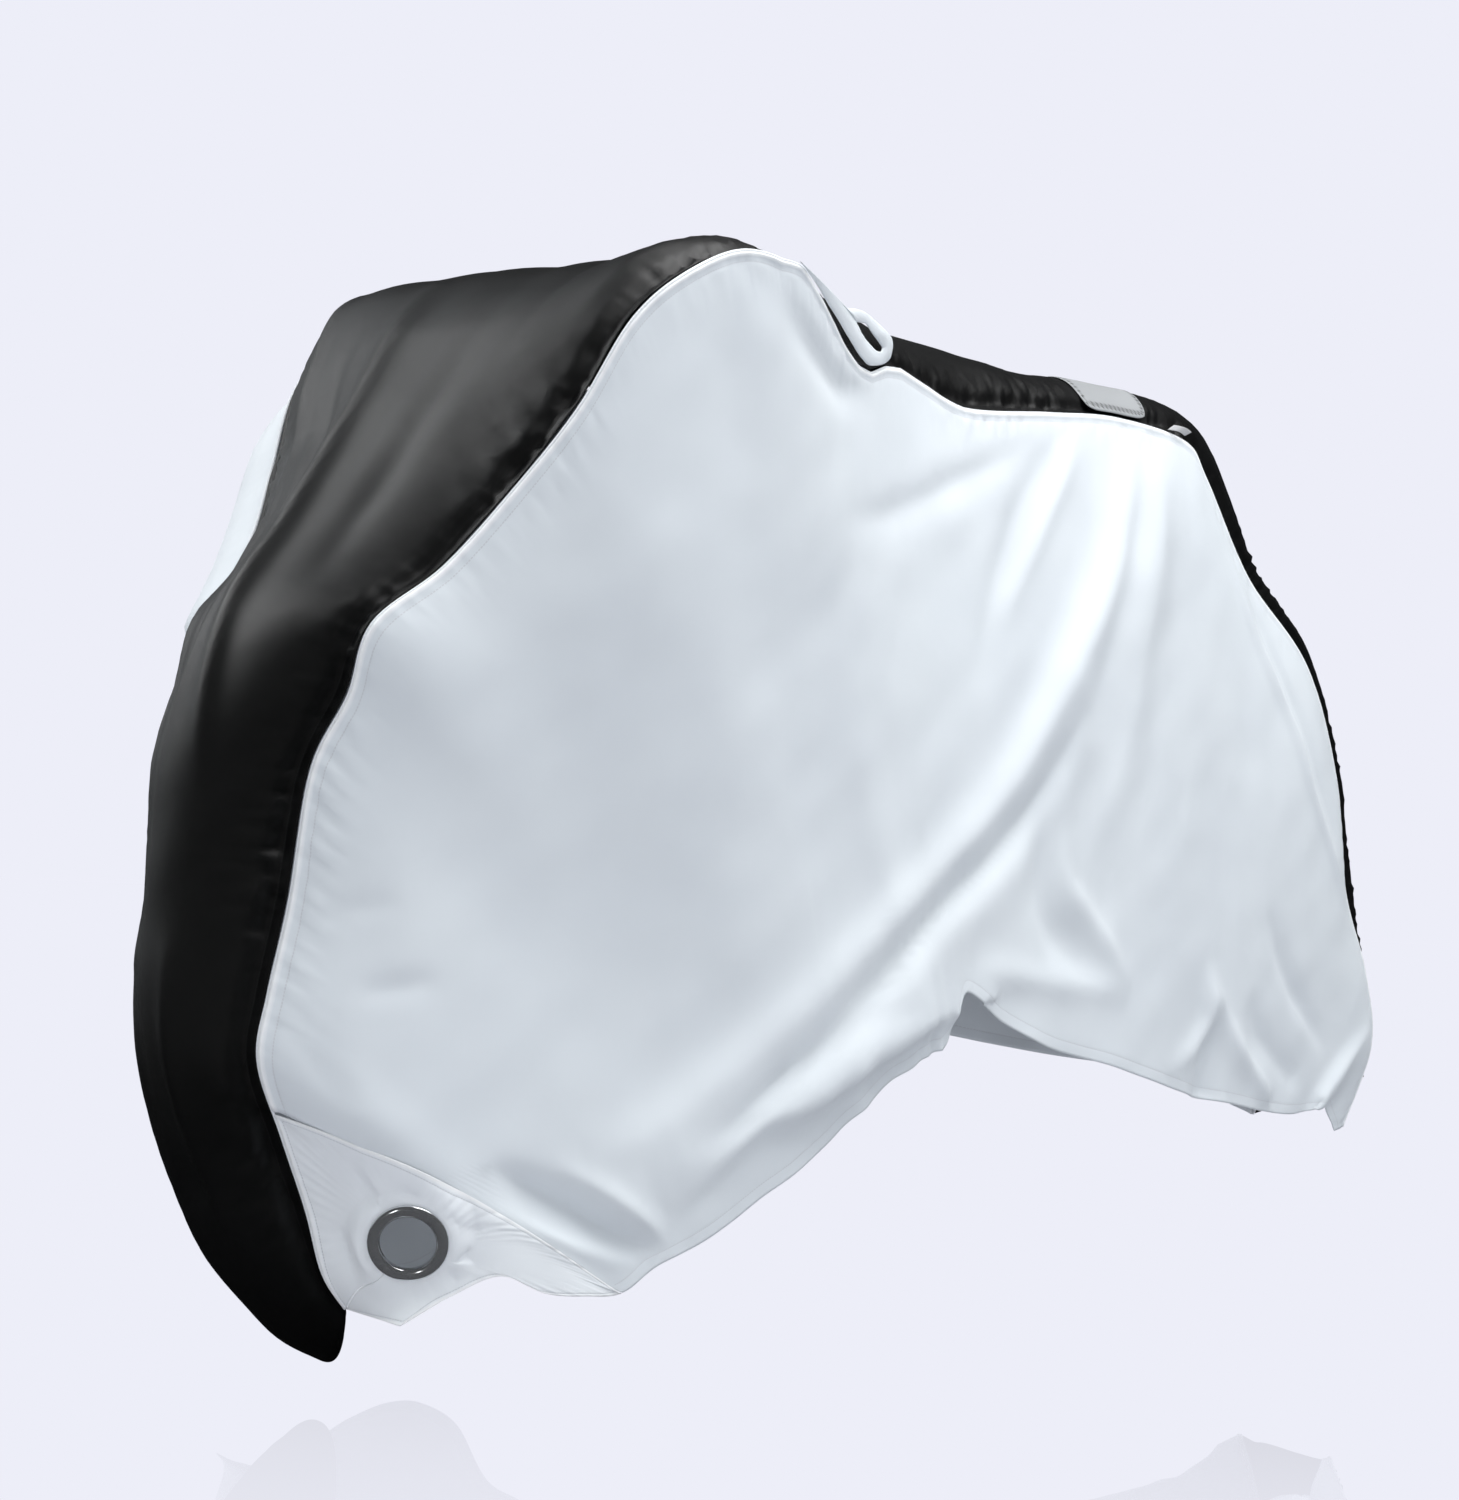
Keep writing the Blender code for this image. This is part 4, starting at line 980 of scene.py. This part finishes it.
# %% Roll the cords
def roll_cord(side):
    def place(u, v):
        at = section_at(seam_length[-1] * u)
        middle_line = seam_point(at, side)
        along = unit(seam_point(at + 0.01, side) - seam_point(at - 0.01, side))
        first = unit(np.cross(along, [0.0, side, 0.0]))
        second = np.cross(along, first)
        turn = 2 * math.pi * v
        points = middle_line + PIPING * (np.cos(turn)[:, None] * first + np.sin(turn)[:, None] * second)
        pair = np.stack([seam_length[-1] * u, v * 2 * math.pi * PIPING], -1)
        return points, {"cloth": pair}

    return place


for label, node, side in (("near_cord", "piping_near", -1), ("far_cord", "piping_far", 1)):
    cord_mesh = lay_grid(label, 430, 10, roll_cord(side), ring=True)
    closing = bmesh.new()
    closing.from_mesh(cord_mesh)
    bmesh.ops.holes_fill(closing, edges=[edge for edge in closing.edges if edge.is_boundary], sides=0)
    bmesh.ops.recalc_face_normals(closing, faces=closing.faces)
    closing.to_mesh(cord_mesh)
    closing.free()
    as_piece(label, cord_mesh, cord_cloth, node)
    print(label, "has", len(cord_mesh.polygons), "faces")

# %% [markdown]
# The patch lies on the gusset's own surface, so it takes its curve: its grid is placed in the same
# section numbers and shares, with the corners drawn in, and then lifted by the thickness of the cloth
# below. The tag is a strip between four corners, bowed a little.

# %% Sew on the patch and the tag
PATCH = (20.55, 21.45, -0.95, 0.12)
TAG = np.array([[[0.414, -0.0805, 1.127], [0.423, -0.083, 1.134]],
                [[0.444, -0.084, 1.122], [0.454, -0.087, 1.128]]])


def place_patch(u, v):
    wide, tall = 2 * u - 1, 2 * v - 1
    at = PATCH[0] + (PATCH[1] - PATCH[0]) * (0.5 + 0.5 * wide * (1 - 0.10 * np.abs(tall) ** 6))
    across = PATCH[2] + (PATCH[3] - PATCH[2]) * (0.5 + 0.5 * tall * (1 - 0.10 * np.abs(wide) ** 6))
    points = gusset_point(at, across)
    edge = np.minimum((1 - np.abs(wide)) * 0.075, (1 - np.abs(tall)) * 0.05)
    pair = np.stack([metres_at(at) + across * 0.085 * 1.3, edge], -1)
    return points, {"cloth": pair}


def place_tag(u, v):
    ends = TAG[0] + u[:, None, None] * (TAG[1] - TAG[0])
    points = ends[:, 0] + v[:, None] * (ends[:, 1] - ends[:, 0])
    points = points + np.stack([0 * u, -0.003 * np.sin(math.pi * u), 0.002 * np.sin(2.5 * u)], -1)
    return points, {"cloth": np.stack([u * 0.032, v * 0.011], -1)}


patch_mesh = lay_grid("patch_film", 60, 40, place_patch)
face_outwards(patch_mesh, lambda centres: np.array([0.0, -0.3, 1.0]))
_, away = read_uv(patch_mesh, "cloth").T
push_out(patch_mesh, 0.0022 + 0.0006 * (1 - np.exp(-away / 0.004)))
patch_film_piece = as_piece("patch_film", patch_mesh, patch_film, "reflective_patch",
                            0.0009)
tag_mesh = lay_grid("ribbon_tag", 24, 10, place_tag)
face_outwards(tag_mesh, lambda centres: np.array([0.0, -1.0, 0.2]))
ribbon_tag = as_piece("ribbon_tag", tag_mesh, tag_ribbon, None, 0.0008)
print("patch and tag are sewn on")

# %% [markdown]
# Behind the front peak the near panel is folded over itself once more: a loop of silver cloth rises over
# the seam, with a black gap before it and an opening through which the gusset shows. The rows below are
# its outer line and, opposite each point, the line of the opening, both in x and z.

# %% The tuck behind the front peak
TUCK = np.array([
    [-427, 1140, -272, 1120], [-383, 1134, -272, 1120], [-323, 1128, -272, 1120],
    [-302, 1127, -271, 1120], [-278, 1132, -260, 1122], [-249, 1136, -244, 1125],
    [-219, 1135, -230, 1121], [-182, 1132, -214, 1117], [-166, 1129, -204, 1115],
    [-161, 1122, -194, 1112], [-163, 1114, -194, 1109], [-169, 1105, -196, 1107],
    [-190, 1094, -201, 1105], [-227, 1084, -213, 1104], [-246, 1085, -229, 1106],
    [-264, 1089, -242, 1108], [-282, 1095, -249, 1110], [-300, 1101, -256, 1112],
    [-322, 1109, -262, 1115], [-351, 1118, -266, 1117], [-373, 1126, -269, 1118],
    [-393, 1132, -272, 1120], [-413, 1137, -272, 1120], [-427, 1140, -272, 1120],
]) / 1000


def fold_tuck(u, v):
    row = smooth_rows(TUCK, u * (len(TUCK) - 1))
    x = row[:, 2] + (row[:, 0] - row[:, 2]) * v
    z = row[:, 3] + (row[:, 1] - row[:, 3]) * v
    width = np.hypot(row[:, 0] - row[:, 2], row[:, 1] - row[:, 3])
    y = -0.308 + 0.53 * (x + 0.427)
    y = y - np.minimum(0.10 * width, 0.0035) * np.sin(math.pi * np.clip(v, 0, 1)) ** 0.8
    pair = np.stack([u * 0.5, 0.05 + v * width], -1)
    return np.stack([x, y, z], -1), {"cloth": pair, "hem": pair + NO_HEM}


tuck_mesh = lay_grid("tuck_cloth", 150, 14, fold_tuck, ring=True)
face_outwards(tuck_mesh, lambda centres: np.array([0.0, -1.0, 0.2]))
tuck = as_piece("tuck_cloth", tuck_mesh, tuck_cloth, None, 0.0009)
print("tuck:", len(tuck_mesh.polygons), "faces")

# %% [markdown]
# ## The view
# The camera stands where the photograph was taken from, a little over half a metre up and looking
# slightly upwards. Its three axes come from yaw, pitch and roll.

# %% The camera
def camera_axes(yaw, pitch, roll):
    look = np.array([math.sin(yaw) * math.cos(pitch), math.cos(yaw) * math.cos(pitch), math.sin(pitch)])
    right = np.array([math.cos(yaw), -math.sin(yaw), 0.0])
    up = np.cross(right, look)
    turned = math.cos(roll) * right + math.sin(roll) * up
    return look, turned, math.cos(roll) * up - math.sin(roll) * right


look, right, up = camera_axes(0.7023, 0.0509, 0.0494)
lens = bpy.data.cameras.new("camera")
lens.lens, lens.sensor_width, lens.sensor_fit = 59.1, 36.0, "AUTO"
camera = bpy.data.objects.new("camera", lens)
camera.matrix_world = Matrix(np.column_stack([right, up, -look]).tolist()).to_4x4()
camera.location = np.array([-2.0235, -2.1232, 0.5284]) - HOLD
bpy.context.scene.collection.objects.link(camera)
bpy.context.scene.camera = camera
print("camera at", [round(v, 3) for v in camera.location])

# %% [markdown]
# The backdrop is an even pale blue-grey, and the floor melts into it, as on a light table: to the camera
# it glows in the backdrop's colour, with a thin mirror image that fades towards us. In the glossy
# reflections of the cloth it is near black, a painted shade in those reflections. To all other light it is
# an ordinary pale floor.

# %% A floor that melts into the backdrop
BACKDROP = (0.847, 0.855, 0.939)
laying = bmesh.new()
bmesh.ops.create_grid(laying, x_segments=1, y_segments=1, size=30.0)
floor_mesh = bpy.data.meshes.new("floor")
laying.to_mesh(floor_mesh)
laying.free()
floor_mesh.transform(Matrix.Translation((0, 0, -HOLD[2])))
floor = bpy.data.objects.new("floor", floor_mesh)
bpy.context.scene.collection.objects.link(floor)
floor_finish, tree, shader = new_finish("pale floor")
tree.nodes.remove(shader)


def facing(tree, vector, direction):
    """How far a vector points in a direction: their dot product."""
    dot = tree.nodes.new("ShaderNodeVectorMath")
    dot.operation = "DOT_PRODUCT"
    dot.inputs[1].default_value = direction
    tree.links.new(vector, dot.inputs[0])
    return dot.outputs["Value"]


def mix_shaders(tree, share, first, second):
    mixed = tree.nodes.new("ShaderNodeMixShader")
    for socket, value in zip(mixed.inputs, (share, first.outputs[0], second.outputs[0])):
        tree.links.new(value, socket)
    return mixed


glow = add_node(tree, "Emission", Color=(*BACKDROP, 1))
gloss = add_node(tree, "BsdfGlossy", Color=(1, 1, 1, 1), Roughness=0.0)
matt = add_node(tree, "BsdfDiffuse", Color=(0.5, 0.5, 0.53, 1))
# The floor as glossy rays see it: near black, a painted shade in the reflections of the cloth.
dark_for_reflections = add_node(tree, "BsdfDiffuse", Color=(0.02, 0.02, 0.02, 1))
place = tree.nodes.new("ShaderNodeTexCoord")
near = facing(tree, place.outputs["Object"], (-0.646, -0.763, 0.0))
past = maths(tree, "MAXIMUM", maths(tree, "SUBTRACT", near, 0.30), 0.0)
share = maths(tree, "MULTIPLY", maths(tree, "EXPONENT", maths(tree, "DIVIDE", past, -0.6)), 0.35)
seen = tree.nodes.new("ShaderNodeLightPath")
to_light = mix_shaders(tree, seen.outputs["Is Glossy Ray"], matt, dark_for_reflections)
to_camera = mix_shaders(tree, share, glow, gloss)
either = mix_shaders(tree, seen.outputs["Is Camera Ray"], to_light, to_camera)
feed(tree, tree.nodes["Material Output"], Surface=either.outputs[0])
floor_mesh.materials.append(floor_finish)
print("floor at", round(-HOLD[2], 3))

# %% [markdown]
# The world gives most of the light. It is bright overhead and from the camera's side, and dark low on the
# left, where the studio is open: that dark side is what keeps the gusset's front black. What shines in
# the cloth is a light of its own, high behind on the left, which gives the gusset its grey sheen. The
# camera, and the mirror image in the floor, see the plain backdrop instead.

# %% Light from all round
LOW, LOW_DARK, HIGH = 0.60, 0.05, 1.06
SHEEN_FROM, SHEEN_LIGHT = (-0.42, 0.80, 0.42), 0.85
world = bpy.data.worlds.new("studio")
bpy.context.scene.world = world
world.use_nodes = True
sky = world.node_tree
backdrop = sky.nodes["Background"]
backdrop.inputs["Color"].default_value = (*BACKDROP, 1)
way = sky.nodes.new("ShaderNodeTexCoord").outputs["Generated"]
split = add_node(sky, "SeparateXYZ", Vector=way)


def fade_between(value, start, end, low, high):
    node = add_node(sky, "MapRange", Value=value, From_Min=start, From_Max=end, To_Min=low, To_Max=high)
    node.interpolation_type = "SMOOTHSTEP"
    return node.outputs["Result"]


low_light = fade_between(facing(sky, way, (-0.75, 0.66, 0.0)), -0.05, 0.25, LOW, LOW_DARK)
level_light = fade_between(split.outputs["Z"], 0.15, 0.55, low_light, HIGH)
sheen_light = fade_between(facing(sky, way, SHEEN_FROM), 0.74, 0.93, 0.012, SHEEN_LIGHT)
seen = sky.nodes.new("ShaderNodeLightPath")
both = add_node(sky, "Mix", Factor=seen.outputs["Is Glossy Ray"], A=level_light, B=sheen_light)
tint = sky.nodes.new("ShaderNodeVectorMath")
tint.operation = "SCALE"
tint.inputs[0].default_value = (0.855, 0.895, 0.925)
feed(sky, tint, Scale=both.outputs["Result"])
dim = add_node(sky, "Background", Color=tint.outputs[0])
plain = maths(sky, "MAXIMUM", seen.outputs["Is Camera Ray"], seen.outputs["Is Singular Ray"])
choose = mix_shaders(sky, plain, dim, backdrop)
feed(sky, sky.nodes["World Output"], Surface=choose.outputs[0])
print("world from", LOW_DARK, "to", HIGH, "times the backdrop")

# %% [markdown]
# Soft lamps shape the folds: a large one overhead and a little towards us, which whitens every ridge that
# faces up, and one behind on the left for the sliver of the far panel that shows there. A small one
# stands low in front, so that the eyelet has something to shine with. No camera sees the lamps
# themselves.

# %% The lamps
def softbox(name, place, target, size, power):
    lamp = bpy.data.lights.new(name, "AREA")
    lamp.shape = "RECTANGLE"
    lamp.size, lamp.size_y = size
    lamp.energy = power
    made = bpy.data.objects.new(name, lamp)
    away = unit(np.array(place, float) - np.array(target, float))
    side = unit(np.cross([0.0, 1.0, 0.0] if abs(away[2]) > 0.95 else [0.0, 0.0, 1.0], away))
    made.matrix_world = Matrix(np.column_stack([side, np.cross(away, side), away]).tolist()).to_4x4()
    made.location = np.array(place, float) - HOLD
    made.visible_camera = False
    bpy.context.scene.collection.objects.link(made)


softbox("top softbox", (-0.1, -1.1, 3.2), (0.1, 0.0, 0.7), (2.2, 2.2), 80)
softbox("small front softbox", (-2.7, -1.3, 0.25), (-0.735, -0.171, 0.17), (0.22, 0.5), 1.6)
softbox("back left softbox", (-2.6, 2.0, 2.6), (-0.7, 0.3, 0.9), (1.2, 1.2), 40)
bpy.context.scene.view_settings.view_transform = "Standard"
print("lamps are set")

# %% [markdown]
# ## The sheets
# The cover has seven sheets: the two side panels, the gusset, the lock strip, the tuck, the patch film
# and the tag.

print("seven sheets")
